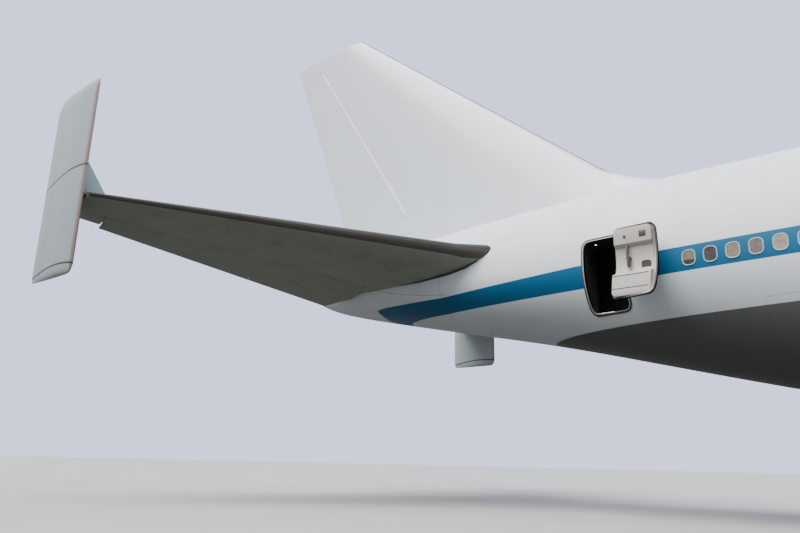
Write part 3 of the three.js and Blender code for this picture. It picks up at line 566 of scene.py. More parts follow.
class Finish:
    """A material under way: its wires, its shader and the place on the piece."""

    def __init__(self, name, **sockets):
        self.material = bpy.data.materials.new(name)
        self.material.use_nodes = True
        tree = self.material.node_tree
        self.wires = Wires(tree)
        self.shader = next(node for node in tree.nodes if node.type == "BSDF_PRINCIPLED")
        coordinates = self.wires.add("ShaderNodeTexCoord")
        self.position = coordinates.outputs["Object"]
        self.x, self.y, self.z = self.wires.axes(self.position)
        for socket, value in sockets.items():
            self.set(socket.replace("_", " "), value)

    def set(self, socket, value):
        self.wires.feed(self.shader.inputs[socket], value)

    def relief(self, height, depth=0.002, strength=0.5):
        bump = self.wires.add("ShaderNodeBump", Height=height, Strength=strength, Distance=depth)
        self.set("Normal", bump.outputs[0])

    def weathered(self, colour, patches, streaks, grime, roughness, lines=None, dirt=None):
        """Paint with wear: lines is a mask of seams, which are darker and sunk."""
        wires = self.wires
        wear = wires.effect(
            WEATHERING,
            Position=self.position,
            Patches=patches,
            Streaks=streaks,
            Grime=grime,
        )
        shade = wires.toned(colour, wear["Tone"])
        shade = wires.blend(wear["Dirt"], shade, dirt or (0.12, 0.11, 0.1, 1))
        height = wear["Relief"]
        if lines is not None:
            shade = wires.blend(wires.times(lines, 0.45), shade, (0.06, 0.06, 0.06, 1))
            height = wires.less(height, lines)
        self.set("Base Color", shade)
        self.set("Roughness", wires.maths("ADD", wear["Rough"], roughness))
        self.relief(height)
        return self.material


def most(wires, masks):
    """The strongest of several masks."""
    whole = masks[0]
    for mask in masks[1:]:
        whole = wires.maths("MAXIMUM", whole, mask)
    return whole


# The places that the paint follows

WHITE = (0.7, 0.755, 0.79, 1)
FIN_WHITE = (0.72, 0.79, 0.82, 1)
STRIPE_BLUE = (0.005, 0.11, 0.23, 1)
BELLY_GREY = (0.12, 0.122, 0.12, 1)
DOOR = {"station": 54.62, "sill": 5.17, "width": 1.12, "height": 1.93, "corner": 0.16}
DOOR_MIDDLE = DOOR["sill"] + DOOR["height"] / 2
# Station, height, width and height of the doors of the holds
HOLD_DOORS = [(14.6, 3.9, 2.64, 1.68), (44.4, 4.1, 2.64, 1.68), (50.3, 4.45, 1.1, 1.1)]
DOOR_STATIONS = [7.9, 17.2, 27.4, 40.2, DOOR["station"]]
STRIPE = {"height": 6.15, "half": 0.31, "end": 64.05}
BELLY_TOP = 4.83
FIN_FOOT = 9.62
RADOME = 1.75
SEAM_WIDTH = 0.006
# Stations of the seams round the body, and how strongly each one shows
JOINS = [(RADOME, 1.0), (10.9, 1.0), (23.1, 1.0), (38.6, 1.0), (57.7, 0.3), (60.5, 1.0)]


def stripe_mask(finish):
    """The band along the windows: it narrows at both ends, drops at the nose and rises aft."""
    wires = finish.wires
    change = lambda start, end, low, high: wires.ramp(
        finish.x, place(start, 0, 0).x, place(end, 0, 0).x, low / 2, high / 2
    )
    rise = wires.maths("ADD", change(57.0, 60.5, 0, 0.02), change(60.5, 63.6, 0, 0.145))
    shifted = wires.less(rise, change(8.0, 0, 0, 0.84))
    middle = wires.maths("ADD", shifted, STRIPE["height"] / 2)
    half = wires.maths(
        "MINIMUM",
        change(8.0, 0, STRIPE["half"], 0.06),
        change(55.5, 60.3, STRIPE["half"], 0.225),
    )
    away = wires.maths("ABSOLUTE", wires.less(finish.z, middle))
    band = wires.fall(wires.less(away, half), -0.002, 0.002)
    end = place(STRIPE["end"], 0, 0).x
    return wires.times(band, wires.ramp(finish.x, end - 0.002, end + 0.002))


def tail_seam(finish):
    """The seam that curves up along the side of the tail."""
    wires = finish.wires
    aft = wires.less(place(60.3, 0, 0).x, finish.x)
    bend = wires.times(wires.maths("MULTIPLY_ADD", aft, 0.056, 0.1), aft)
    level = wires.less(finish.z, bend)
    line = wires.effect(HAIRLINE, Value=level, At=6.47 / 2, Width=SEAM_WIDTH)["Line"]
    stretch_of_it = wires.times(wires.ramp(aft, 0.0, 0.01), wires.fall(aft, 1.69, 1.7))
    return wires.times(line, stretch_of_it)


def body_seams(finish):
    """Skin joints of the body, and the outlines of its doors and holds."""
    wires = finish.wires
    hoops = wires.effect(REPEATED_LINE, Value=finish.x, Spacing=1.27, Width=SEAM_WIDTH * 0.7)
    masks = [wires.times(hoops["Line"], 0.35)]
    for height in (3.3, 4.15, 5.35, 7.05, 7.95, 8.7):
        lap = wires.effect(HAIRLINE, Value=finish.z, At=height / 2, Width=SEAM_WIDTH * 0.6)
        masks.append(wires.times(lap["Line"], 0.3))
    masks.append(tail_seam(finish))
    for station, strength in JOINS:
        at = place(station, 0, 0).x
        line = wires.effect(HAIRLINE, Value=finish.x, At=at, Width=SEAM_WIDTH)["Line"]
        masks.append(wires.times(line, strength))
    doors = [(station, DOOR_MIDDLE, DOOR["width"], DOOR["height"]) for station in DOOR_STATIONS]
    for station, height, width, tall in doors + HOLD_DOORS:
        frame_line = wires.effect(
            OUTLINE,
            Across=wires.less(finish.x, place(station, 0, 0).x),
            Up=wires.less(finish.z, height / 2),
            Half_Width=width / 4,
            Half_Height=tall / 4,
            Corner=DOOR["corner"] / 2,
            Width=SEAM_WIDTH,
        )
        masks.append(wires.times(frame_line["Line"], 0.7))
    return most(wires, masks)


def body_paint():
    finish = Finish("body paint", Coat_Weight=0.04, Coat_Roughness=0.3, Specular_IOR_Level=0.2)
    wires = finish.wires
    belly = wires.fall(finish.z, BELLY_TOP / 2 - 0.003, BELLY_TOP / 2 + 0.003)
    colour = wires.blend(belly, WHITE, BELLY_GREY)
    colour = wires.blend(stripe_mask(finish), colour, STRIPE_BLUE)
    return finish.weathered(colour, 0.06, 0.04, 0.03, 0.45, body_seams(finish))


def belly_paint():
    finish = Finish("belly paint", Coat_Weight=0.2)
    wires = finish.wires
    hoops = wires.effect(REPEATED_LINE, Value=finish.x, Spacing=0.8, Width=SEAM_WIDTH)["Line"]
    strakes = wires.effect(REPEATED_LINE, Value=finish.y, Spacing=0.62, Width=SEAM_WIDTH)["Line"]
    lines = wires.times(most(wires, [hoops, strakes]), 0.6)
    return finish.weathered(BELLY_GREY, 0.14, 0.1, 0.15, 0.42, lines)


# Leading edge, sweep, chord and taper of each panel at no span, in the model's metres
FIN_PLAN = {"Lead": -3.9237, "Sweep": 1.20448, "Chord": 9.7593, "Taper": 0.79248}
TAIL_PLAN = {"Lead": -10.585, "Sweep": 0.927, "Chord": 4.823, "Taper": 0.666}
WING_PLANS = [
    {"Lead": 8.065, "Sweep": 0.87, "Chord": 8.2929, "Taper": 0.642857},
    {"Lead": 8.065, "Sweep": 0.87, "Chord": 6.1164, "Taper": 0.27397},
]


def panel_grid(finish, share, span, spars, rib_spacing):
    """Lines at shares of the chord and at equal steps of the span."""
    wires = finish.wires
    masks = []
    for spar in spars:
        masks.append(wires.effect(HAIRLINE, Value=share, At=spar, Width=0.0022)["Line"])
    ribs = wires.effect(REPEATED_LINE, Value=span, Spacing=rib_spacing, Width=SEAM_WIDTH * 0.7)
    masks.append(wires.times(ribs["Line"], 0.5))
    return most(wires, masks)


def fin_paint():
    finish = Finish("fin paint", Coat_Weight=0.3, Coat_Roughness=0.15)
    wires = finish.wires
    chord = wires.effect(CHORD, Forward=finish.x, Span=finish.z, **FIN_PLAN)
    lines = panel_grid(finish, chord["Share"], finish.z, (0.12, 0.66), 1.1)
    lines = wires.times(lines, 0.16)
    foot = wires.effect(HAIRLINE, Value=finish.z, At=FIN_FOOT / 2, Width=SEAM_WIDTH)["Line"]
    rear = place(61.5, 0, 0).x
    foot = wires.times(foot, wires.fall(finish.x, rear - 0.2, rear))
    above = wires.ramp(finish.z, 5.0, 5.2)
    edge = wires.times(wires.fall(chord["Aft"], 0.035, 0.045), above)
    colour = wires.blend(wires.ramp(finish.z, FIN_FOOT / 2, FIN_FOOT / 2 + 0.003), WHITE, FIN_WHITE)
    colour = wires.blend(edge, colour, (0.1, 0.1, 0.095, 1))
    return finish.weathered(colour, 0.06, 0.05, 0.06, 0.3, most(wires, [lines, foot]))


def tail_paint():
    finish = Finish("tailplane paint", Specular_IOR_Level=0.2)
    wires = finish.wires
    span = wires.maths("ABSOLUTE", finish.y)
    chord = wires.effect(CHORD, Forward=finish.x, Span=span, **TAIL_PLAN)
    lines = panel_grid(finish, chord["Share"], span, (0.2, 0.42, 0.6), 0.62)
    lines = wires.times(lines, 0.5)
    colour = wires.toned((0.31, 0.325, 0.276, 1), wires.ramp(span, 1.15, 4.6, 1.06, 0.94))
    ahead = wires.less(wires.ramp(span, 1.1, 5.2, 0.12, 0.065), chord["Aft"])
    outside = wires.maths("MULTIPLY_ADD", chord["Aft"], -2.25, span)
    edge = wires.times(wires.ramp(ahead, -0.002, 0.002), wires.ramp(outside, 1.095, 1.105))
    # The leading edge strip has its own dark colour; painted shade also makes it darker where it faces up
    # than where it faces down, against the light from above.
    facing = wires.axes(wires.add("ShaderNodeNewGeometry").outputs["Normal"])[2]
    edge_tone_and_painted_shade = wires.blend(wires.ramp(facing, -0.3, 0.3), (0.12, 0.11, 0.095, 1), (0.03, 0.028, 0.024, 1))
    colour = wires.blend(edge, colour, edge_tone_and_painted_shade)
    return finish.weathered(colour, 0.2, 0.16, 0.22, 0.5, lines, (0.07, 0.065, 0.05, 1))


def plate_paint():
    finish = Finish("end plate paint", Coat_Weight=0.25, Coat_Roughness=0.2)
    wires = finish.wires
    bands = []
    for centre, bend, height in ((-15.8, 0.11, 9.55), (-16.15, 0.12, 6.54)):
        across = wires.less(finish.x, centre)
        arch = wires.times(wires.times(across, across), bend)
        level = wires.maths("ADD", finish.z, arch)
        bands.append(wires.effect(HAIRLINE, Value=level, At=height / 2, Width=0.02)["Line"])
    lines = most(wires, bands)
    front = place(66.93, 0, 0).x
    edge = wires.ramp(finish.x, front - 0.004, front + 0.004)
    colour = wires.blend(edge, (0.34, 0.395, 0.4, 1), (0.3, 0.235, 0.21, 1))
    colour = wires.blend(wires.times(lines, 0.9), colour, (0.025, 0.03, 0.045, 1))
    return finish.weathered(colour, 0.08, 0.1, 0.1, 0.34, lines)


def wing_paint():
    finish = Finish("wing paint", Coat_Weight=0.15)
    wires = finish.wires
    span = wires.maths("ABSOLUTE", finish.y)
    shares = [
        wires.effect(CHORD, Forward=finish.x, Span=span, **plan)["Share"] for plan in WING_PLANS
    ]
    share = wires.maths("MINIMUM", *shares)
    lines = panel_grid(finish, share, span, (0.11, 0.22, 0.4, 0.6, 0.7), 0.93)
    top = wires.ramp(wires.axes(wires.add("ShaderNodeNewGeometry").outputs["Normal"])[2], -0.1, 0.1)
    walkway = wires.times(wires.ramp(share, 0.12, 0.125), top)
    walkway = wires.times(walkway, wires.fall(share, 0.6, 0.605))
    walkway = wires.times(walkway, wires.fall(span, 9.5, 9.52))
    colour = wires.blend(walkway, (0.4, 0.415, 0.42, 1), (0.3, 0.315, 0.32, 1))
    metal = wires.fall(share, 0.028, 0.03)
    colour = wires.blend(metal, colour, (0.6, 0.61, 0.62, 1))
    finish.set("Metallic", wires.times(metal, 0.85))
    return finish.weathered(colour, 0.12, 0.06, 0.25, 0.36, lines)


def plain_finish(name, colour, roughness, patches=0.15, streaks=0.08, grime=0.2, **sockets):
    """Paint or metal without seams, with wear of its own."""
    return Finish(name, **sockets).weathered(colour, patches, streaks, grime, roughness)


def cowl_paint():
    finish = Finish("cowl paint", Coat_Weight=0.3, Coat_Roughness=0.15)
    wires = finish.wires
    low = wires.effect(REPEATED_LINE, Value=finish.x, Spacing=0.52, Width=SEAM_WIDTH * 0.8)
    lines = wires.times(low["Line"], 0.7)
    return finish.weathered(WHITE, 0.08, 0.1, 0.22, 0.3, lines)


def tyre_rubber():
    """Black rubber with scuffed shoulders."""
    finish = Finish("tyre rubber", Specular_IOR_Level=0.3)
    wires = finish.wires
    scuffs = wires.noise(finish.position, 14.0, 5.0)
    dust = wires.ramp(scuffs, 0.45, 0.75)
    finish.set("Base Color", wires.blend(dust, (0.016, 0.016, 0.017, 1), (0.07, 0.066, 0.06, 1)))
    finish.set("Roughness", wires.ramp(scuffs, 0.3, 0.7, 0.72, 0.9))
    finish.relief(wires.noise(finish.position, 70.0, 3.0), 0.002, 0.4)
    return finish.material


WINDOW_PITCH = 0.508
LAST_WINDOW = 52.37
WINDOW_HEIGHT = 6.15
# What shows behind the panes, in order from the last window forward
PANE_TONES = [
    (0.2, 0.165, 0.11),
    (0.055, 0.046, 0.04),
    (0.23, 0.19, 0.13),
    (0.16, 0.13, 0.125),
    (0.32, 0.28, 0.22),
]


def window_pane():
    """Cabin panes with blinds of several tones behind them; below one half-drawn blind the cabin is painted
    near black as shade.
    """
    finish = Finish("window pane", Coat_Weight=0.6, Coat_Roughness=0.05)
    wires = finish.wires
    pitch = WINDOW_PITCH / 2
    ahead = wires.less(finish.x, place(LAST_WINDOW, 0, 0).x - pitch / 2)
    number = wires.maths("FLOOR", wires.maths("DIVIDE", ahead, pitch))
    row = wires.maths("FLOOR", wires.maths("DIVIDE", number, len(PANE_TONES)))
    turn_of_it = wires.maths("MULTIPLY_ADD", row, 0.4, wires.maths("DIVIDE", number, 5))
    share = wires.maths("FRACT", wires.maths("ADD", turn_of_it, 0.02))
    ramp = wires.add("ShaderNodeValToRGB")
    ramp.color_ramp.interpolation = "CONSTANT"
    wires.feed(ramp.inputs["Fac"], share)
    for index, tone in enumerate(PANE_TONES):
        stops = ramp.color_ramp.elements
        stop = stops[index] if index < len(stops) else stops.new(index / len(PANE_TONES))
        stop.position = index / len(PANE_TONES)
        stop.color = (*tone, 1)
    low = wires.fall(finish.z, WINDOW_HEIGHT / 2 - 0.03, WINDOW_HEIGHT / 2 - 0.025)
    # Below the half-drawn blind the cabin is painted near black, as painted shade.
    cabin_shade_below_blind = wires.times(low, wires.fall(share, 0.15, 0.16))
    colour = wires.blend(cabin_shade_below_blind, ramp.outputs["Color"], (0.03, 0.027, 0.025, 1))
    blur = wires.noise(finish.position, 18.0, 2.0)
    finish.set("Base Color", wires.toned(colour, wires.ramp(blur, 0.3, 0.7, 0.8, 1.1)))
    finish.set("Roughness", wires.ramp(blur, 0.3, 0.7, 0.22, 0.34))
    return finish.material


def dark_glass(name, colour):
    finish = Finish(name, Coat_Weight=1.0, Coat_Roughness=0.02)
    wires = finish.wires
    smear = wires.noise(finish.position, 6.0, 4.0)
    finish.set("Base Color", wires.toned(colour, wires.ramp(smear, 0.3, 0.7, 0.7, 1.3)))
    finish.set("Roughness", wires.ramp(smear, 0.3, 0.7, 0.05, 0.14))
    return finish.material


def lit_lamp():
    """A small lamp that is switched on, its glow varying a little across it."""
    finish = Finish("lit lamp", Emission_Strength=4.0, Roughness=0.3)
    wires = finish.wires
    glow = wires.ramp(wires.noise(finish.position, 30.0, 2.0), 0.3, 0.7, 0.8, 1.0)
    warm = wires.toned((1.0, 0.93, 0.82, 1), glow)
    finish.set("Base Color", warm)
    finish.set("Emission Color", warm)
    return finish.material


def hot_metal():
    """Nozzle metal, browned and blued by heat in patches."""
    finish = Finish("hot metal", Metallic=1.0)
    wires = finish.wires
    tint = wires.noise(finish.position, 3.0, 3.0)
    colour = wires.blend(wires.ramp(tint, 0.4, 0.6), (0.24, 0.2, 0.17, 1), (0.16, 0.15, 0.17, 1))
    rings = wires.effect(REPEATED_LINE, Value=finish.x, Spacing=0.35, Width=0.006)["Line"]
    return finish.weathered(colour, 0.25, 0.1, 0.3, 0.42, rings)


PAINT = {
    "body": body_paint(),
    "belly": belly_paint(),
    "fin": fin_paint(),
    "tail": tail_paint(),
    "plate": plate_paint(),
    "wing": wing_paint(),
    "cowl": cowl_paint(),
    "hot": hot_metal(),
    "edge": plain_finish(
        "leading edge metal", (0.13, 0.12, 0.105, 1), 0.36, 0.25, 0.2, 0.35, Metallic=0.6
    ),
    "bare": plain_finish("bare metal", (0.62, 0.63, 0.64, 1), 0.25, Metallic=1.0),
    "fan": plain_finish("fan metal", (0.36, 0.37, 0.39, 1), 0.3, Metallic=1.0),
    "steel": plain_finish("polished steel", (0.75, 0.75, 0.74, 1), 0.12, grime=0.06, Metallic=1.0),
    "gear": plain_finish("gear paint", (0.5, 0.52, 0.52, 1), 0.38, grime=0.4),
    "strut": plain_finish("strut paint", (0.68, 0.71, 0.71, 1), 0.35, grime=0.15),
    "white": plain_finish("white paint", WHITE, 0.32, 0.07, 0.06, 0.12, Coat_Weight=0.3),
    "teal": plain_finish("gusset paint", (0.19, 0.27, 0.265, 1), 0.4, 0.15, 0.1, 0.2),
    "lining": plain_finish("door lining", (0.43, 0.405, 0.36, 1), 0.55, 0.06, 0.03, 0.1),
    "brass": plain_finish("worn brass", (0.07, 0.058, 0.035, 1), 0.5, 0.3, 0.1, 0.4),
    "olive": plain_finish("olive plate", (0.055, 0.055, 0.03, 1), 0.5, 0.2, 0.1, 0.2),
    # Near black: painted shade for the vestibule's walls, the doorway's reveal and the ring that closes the
    # fan duct.
    "dark": plain_finish("painted interior shade", (0.028, 0.025, 0.022, 1), 0.7, 0.4, 0.2, 0.2),
    "seal": plain_finish("seal rubber", (0.06, 0.06, 0.058, 1), 0.7, 0.3, 0.1, 0.2),
    "frame": plain_finish("window frame", (0.33, 0.47, 0.55, 1), 0.3, 0.1, 0.05, 0.15),
    "tyre": tyre_rubber(),
    "pane": window_pane(),
    "cockpit": dark_glass("cockpit glass", (0.02, 0.024, 0.028, 1)),
    "red": dark_glass("red lamp", (0.5, 0.01, 0.01, 1)),
    "green": dark_glass("green lamp", (0.01, 0.32, 0.1, 1)),
    "clear": dark_glass("clear lamp", (0.5, 0.5, 0.48, 1)),
    "door_pane": plain_finish("door pane", (0.035, 0.035, 0.035, 1), 0.45, 0.4, 0.1, 0.2),
    "lit": lit_lamp(),
}


# Camera, floor and light


def camera():
    """Behind and below the right side of the tail, at the photograph's angle."""
    view = Vector((-0.6179, 0.7386, 0.2696)).normalized()
    level = Vector((0.767, 0.6417, 0)).normalized()
    over = level.cross(view)
    roll = math.radians(1.314)
    right = math.cos(roll) * level + math.sin(roll) * over
    upward = -math.sin(roll) * level + math.cos(roll) * over
    data = bpy.data.cameras.new("camera")
    data.lens = 31.68
    data.sensor_width = 36
    data.clip_end = 500
    eye = bpy.data.objects.new("camera", data)
    bpy.context.scene.collection.objects.link(eye)
    turned = Matrix((right, upward, -view)).transposed().to_4x4()
    eye.matrix_world = Matrix.Translation((-5.965, -10.025, 0.595)) @ turned
    bpy.context.scene.camera = eye


FLOOR = (0.36, 0.37, 0.36, 1)
FLOOR_BOUNCE = (0.06, 0.06, 0.055, 1)  # how much light the floor throws up at the aircraft


def stage():
    rest()
    bpy.ops.mesh.primitive_plane_add(size=900, location=(0, 0, 0))
    floor = bpy.context.object
    floor.name = "floor"
    finish = Finish("floor", Roughness=0.8)
    grain = finish.wires.noise(finish.position, 0.35, 5.0)
    seen = finish.wires.add("ShaderNodeLightPath").outputs["Is Camera Ray"]
    colour = finish.wires.blend(seen, FLOOR_BOUNCE, FLOOR)
    finish.set("Base Color", finish.wires.toned(colour, finish.wires.ramp(grain, 0.3, 0.7, 0.94, 1.06)))
    floor.data.materials.append(finish.material)
    floor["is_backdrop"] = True


def lamp(name, strength, angle, towards, colour):
    data = bpy.data.lights.new(name, "SUN")
    data.energy = strength
    data.angle = math.radians(angle)
    data.color = colour
    light = bpy.data.objects.new(name, data)
    light.rotation_euler = Vector(towards).to_track_quat("-Z", "Y").to_euler()
    bpy.context.scene.collection.objects.link(light)


BACKDROP = (1.25, 1.3, 1.8, 1)
HORIZON = (0.15, 0.16, 0.2, 1)
ZENITH = (2.0, 2.05, 2.35, 1)


def lights():
    """An overcast sky, brightest overhead, behind a plain pale backdrop, and one soft light."""
    world = bpy.data.worlds.new("sky")
    world.use_nodes = True
    wires = Wires(world.node_tree)
    rise = wires.axes(wires.add("ShaderNodeTexCoord").outputs["Generated"])[2]
    overcast = wires.blend(wires.ramp(rise, 0.0, 1.0), HORIZON, ZENITH)
    seen = wires.add("ShaderNodeLightPath").outputs["Is Camera Ray"]
    colour = wires.blend(seen, overcast, BACKDROP)
    wires.feed(world.node_tree.nodes["Background"].inputs["Color"], colour)
    bpy.context.scene.world = world
    lamp("high soft light", 5.6, 50, (0.15, 0.5, -0.85), (1.0, 0.98, 0.92))


camera()
stage()
lights()


# Body

# Station, keel, widest and crown heights, half width, and the crown's radius as a share of the
# main circle's (1 is a plain round top, less is a narrower upper deck)
BODY_ROWS = [
    (0.0, 4.66, 4.78, 4.9, 0.1, 1),
    (0.3, 4.16, 4.79, 5.4, 0.64, 1),
    (0.9, 3.66, 4.84, 5.98, 1.2, 1),
    (1.9, 3.14, 4.97, 6.78, 1.78, 0.96),
    (3.1, 2.74, 5.14, 7.66, 2.24, 0.86),
    (4.4, 2.47, 5.33, 8.8, 2.6, 0.74),
    (5.7, 2.28, 5.49, 9.42, 2.86, 0.64),
    (7.4, 2.14, 5.64, 9.88, 3.08, 0.59),
    (9.2, 2.07, 5.74, 10.08, 3.2, 0.58),
    (10.9, 2.05, 5.78, 10.12, 3.25, 0.58),
    (16.6, 2.05, 5.78, 10.12, 3.25, 0.58),
    (19.0, 2.05, 5.78, 9.98, 3.25, 0.64),
    (21.2, 2.05, 5.78, 9.7, 3.25, 0.78),
    (23.1, 2.05, 5.78, 9.45, 3.25, 0.92),
    (25.0, 2.05, 5.78, 9.35, 3.25, 1),
    (38.6, 2.05, 5.78, 9.33, 3.25, 1),
    (43.5, 2.07, 5.78, 9.33, 3.25, 1),
    (46.0, 2.26, 5.83, 9.33, 3.24, 1),
    (49.0, 2.74, 5.95, 9.34, 3.2, 1),
    (52.0, 3.46, 6.15, 9.36, 3.1, 1),
    (55.0, 4.24, 6.42, 9.37, 2.92, 1),
    (57.7, 4.92, 6.68, 9.33, 2.6, 1),
    (60.5, 5.49, 6.93, 9.22, 2.24, 1),
    (63.0, 6.03, 7.15, 9.1, 1.93, 1),
    (65.2, 6.5, 7.36, 8.93, 1.56, 1),
    (67.0, 6.95, 7.58, 8.68, 1.12, 1),
    (67.9, 7.32, 7.76, 8.48, 0.72, 1),
    (68.5, 7.7, 7.92, 8.24, 0.3, 1),
]
LOBE_START = 0.5  # height on a unit circle where the upper deck's side leaves the main circle
HOOP_CORNERS = 48
SMOOTHING_GAIN = 1.0029  # what the smoothing takes off a ring of that many corners
SKIN_THICK = 0.05


def body_hoop(row, grow):
    """One ring of the body's skin, shaped from a circle."""
    station, keel, widest, crown, half, lobe = row
    middle = place(station, 0, widest)
    gain = SMOOTHING_GAIN / 2
    bpy.ops.mesh.primitive_circle_add(
        vertices=HOOP_CORNERS, radius=1, location=middle, rotation=(0, math.pi / 2, 0)
    )
    lift = (1 - lobe) / LOBE_START
    here = lambda spot: abs(spot.x - middle.x) < 1e-4
    pick(lambda spot: here(spot) and spot.z > middle.z + LOBE_START - 1e-3)
    stretch(1, lobe, lobe, middle)
    shift((0, 0, lift))
    pick(lambda spot: here(spot) and spot.z > middle.z + 1e-4)
    stretch(1, 1, (crown - widest + grow) * gain / (lift + lobe), middle)
    pick(lambda spot: here(spot) and spot.z < middle.z - 1e-4)
    stretch(1, 1, (widest - keel + grow) * gain, middle)
    pick(here)
    stretch(1, (half + grow) * gain, 1, middle)


def body_skin(grow=0.0):
    """The whole body's outer skin, as one smooth shell closed at both ends."""
    open_mesh()
    for row in BODY_ROWS:
        body_hoop(row, grow)
    loft()
    skin = close_mesh("body_skin")
    return apply(skin, "SUBSURF", levels=2, render_levels=2)


def slice_of(skin, name, start, end, fill=False):
    """The part of a skin between two stations."""
    part = copy_of(skin, name)
    reopen(part)
    for station, ahead in ((start, False), (end, True)):
        pick_all()
        bpy.ops.mesh.bisect(
            plane_co=place(station, 0, 0),
            plane_no=(1, 0, 0),
            clear_outer=not ahead,
            clear_inner=ahead,
            use_fill=fill,
        )
    leave_mesh()
    return part


def doorway_cutter(station, grow, from_side, to_side, narrower=0):
    """A rounded door shape, extruded across the aircraft."""
    open_mesh()
    middle = place(station, from_side, DOOR_MIDDLE)
    width, tall = (DOOR["width"] - narrower) / 2 + grow, DOOR["height"] / 2 + grow
    rounded(middle, width, tall, (DOOR["corner"] + grow) / 2, -AFT, UP)
    extrude((0, (to_side - from_side) / 2, 0))
    face_outwards()
    return close_mesh("doorway_cutter")


NOSE_WELL = {"stations": (5.2, 8.6), "half": 0.62, "top": 3.1}
BODY_GEAR = {"station": 34.84, "side": 1.905}
BODY_WELL_TOP = 2.75


def well_cutter(stations, sides, heights):
    open_mesh()
    block(place(stations[1], sides[0], heights[0]), place(stations[0], sides[1], heights[1]))
    return close_mesh("well_cutter")


def body_wells():
    """Cutters for the wells that the body gear stands in."""
    station = BODY_GEAR["station"]
    for _, sign in SIDES:
        side = sign * BODY_GEAR["side"]
        sides = (side - 0.62, side + 0.62)
        yield well_cutter((station - 1.3, station + 0.55), sides, (1.5, BODY_WELL_TOP))


SECTIONS = [
    ("nose_section", -1.0, 10.9),
    ("forward_body", 10.9, 23.1),
    ("centre_body", 23.1, 38.6),
    ("aft_body", 38.6, 57.7),
    ("tail_body", 57.7, 70.0),
]


def body_sections(skin):
    for node, start, end in SECTIONS:
        part = slice_of(skin, node + "_skin", start, end)
        apply(part, "SOLIDIFY", thickness=SKIN_THICK, offset=-1)
        if node == "nose_section":
            half = NOSE_WELL["half"]
            carve(part, well_cutter(NOSE_WELL["stations"], (-half, half), (1.5, NOSE_WELL["top"])))
        if node == "centre_body":
            for cutter in body_wells():
                carve(part, cutter)
        if node == "aft_body":
            carve(part, doorway_cutter(DOOR["station"], 0, -4, -1.5))
        finished(part, AIRFRAME, "body_paint", PAINT["body"], node)


skin = body_skin()
body_sections(skin)


# The fairing round the wing's root

FAIRING_ROWS = [
    (19.6, 2.3, 3.3, 1.2),
    (21.4, 1.98, 4.3, 2.7),
    (23.4, 1.9, 4.9, 3.4),
    (36.6, 1.9, 4.9, 3.4),
    (38.6, 1.98, 4.4, 2.9),
    (40.4, 2.3, 3.4, 1.4),
]


def belly_fairing():
    open_mesh()
    for station, keel, top, half in FAIRING_ROWS:
        middle = place(station, 0, (keel + top) / 2)
        bpy.ops.mesh.primitive_plane_add(size=1, location=middle, rotation=(0, math.pi / 2, 0))
        stretch(1, half, (top - keel) / 2, middle)
        here = lambda spot: abs(spot.x - middle.x) < 1e-4
        low_corner = min(0.9, half * 0.45, (top - keel) * 0.45) / 2
        pick(lambda spot: here(spot) and spot.z < middle.z)
        bpy.ops.mesh.bevel(affect="VERTICES", offset=low_corner, segments=6)
        pick(lambda spot: here(spot) and spot.z > middle.z + (top - keel) / 4 - 1e-3)
        bpy.ops.mesh.bevel(affect="VERTICES", offset=0.3, segments=4)
        pick(here)
        bpy.ops.mesh.delete(type="ONLY_FACE")
    loft()
    fairing = close_mesh("belly_fairing_skin")
    for cutter in body_wells():
        carve(fairing, cutter)
    finished(fairing, AIRFRAME, "belly_paint", PAINT["belly"], "belly_fairing", smooth=25)


belly_fairing()


# Panels: wings, tailplane, fin and end plates are lofted through copies of one unit section

SECTION_CORNERS = 45
ASIDE = Vector((100, 0, 0))  # finished rings wait there, away from the unit section


def half_thickness(share):
    """Half the thickness of the section at a share of its chord, for a thickness of one."""
    front = 1.4845 * math.sqrt(share) - 0.63 * share
    rear = -1.758 * share**2 + 1.4215 * share**3 - 0.5075 * share**4
    return max(front + rear, 0) + 0.02 * share


def unit_section(upright):
    """A section one metre long and thick, with its leading edge at the origin."""
    thick_axis = OUT if upright else UP
    columns = (thick_axis, -AFT, thick_axis.cross(-AFT))
    turned = Matrix(columns).transposed().to_euler()
    bpy.ops.mesh.primitive_circle_add(
        vertices=SECTION_CORNERS, radius=0.5, location=(-0.5, 0, 0), rotation=turned
    )
    step = 2 * math.pi / SECTION_CORNERS
    last = 0.5 + 0.5 * math.cos(step / 2)
    stretch(1 / last, 1, 1, (0, 0, 0))
    for number in range(1, SECTION_CORNERS // 2 + 1):
        share = (0.5 - 0.5 * math.cos(number * step)) / last
        pick(lambda spot: abs(spot.x + share) < 1e-4)
        gain = half_thickness(share) / (0.5 * math.sin(number * step))
        stretch(1, gain if upright else 1, 1 if upright else gain, (0, 0, 0))


def panel(name, sections, upright=False):
    """A closed panel through its sections: leading edge, chord, thickness share and pitch."""
    open_mesh()
    unit_section(upright)
    near = lambda spot: spot.x > -1.01
    for section in sections:
        pick(lambda spot: abs(spot.z) < 1.01 and abs(spot.y) < 1.01 and near(spot))
        bpy.ops.mesh.duplicate()
        chord = section["chord"] / 2
        thick = section["thick"] * chord
        stretch(chord, thick if upright else 1, 1 if upright else thick, (0, 0, 0))
        if section.get("pitch"):
            turn(-section["pitch"], "Y", (0, 0, 0))
        shift(section["lead"] + ASIDE)
    pick(lambda spot: spot.x < ASIDE.x / 2)
    bpy.ops.mesh.delete(type="VERT")
    pick_all()
    shift(-ASIDE)
    loft()
    return close_mesh(name)


HINGE_GAP = 0.006
SPLIT_GAP = 0.002  # between two surfaces that swing together
SQUARE_SHARE = 0.45  # the part of a surface's end that is square to its hinge line
NOSE_SHARE = 0.97  # the round nose's radius as a share of the panel's half thickness
LIP_MARGIN = 1.06  # how much further forward than the swing needs the room reaches


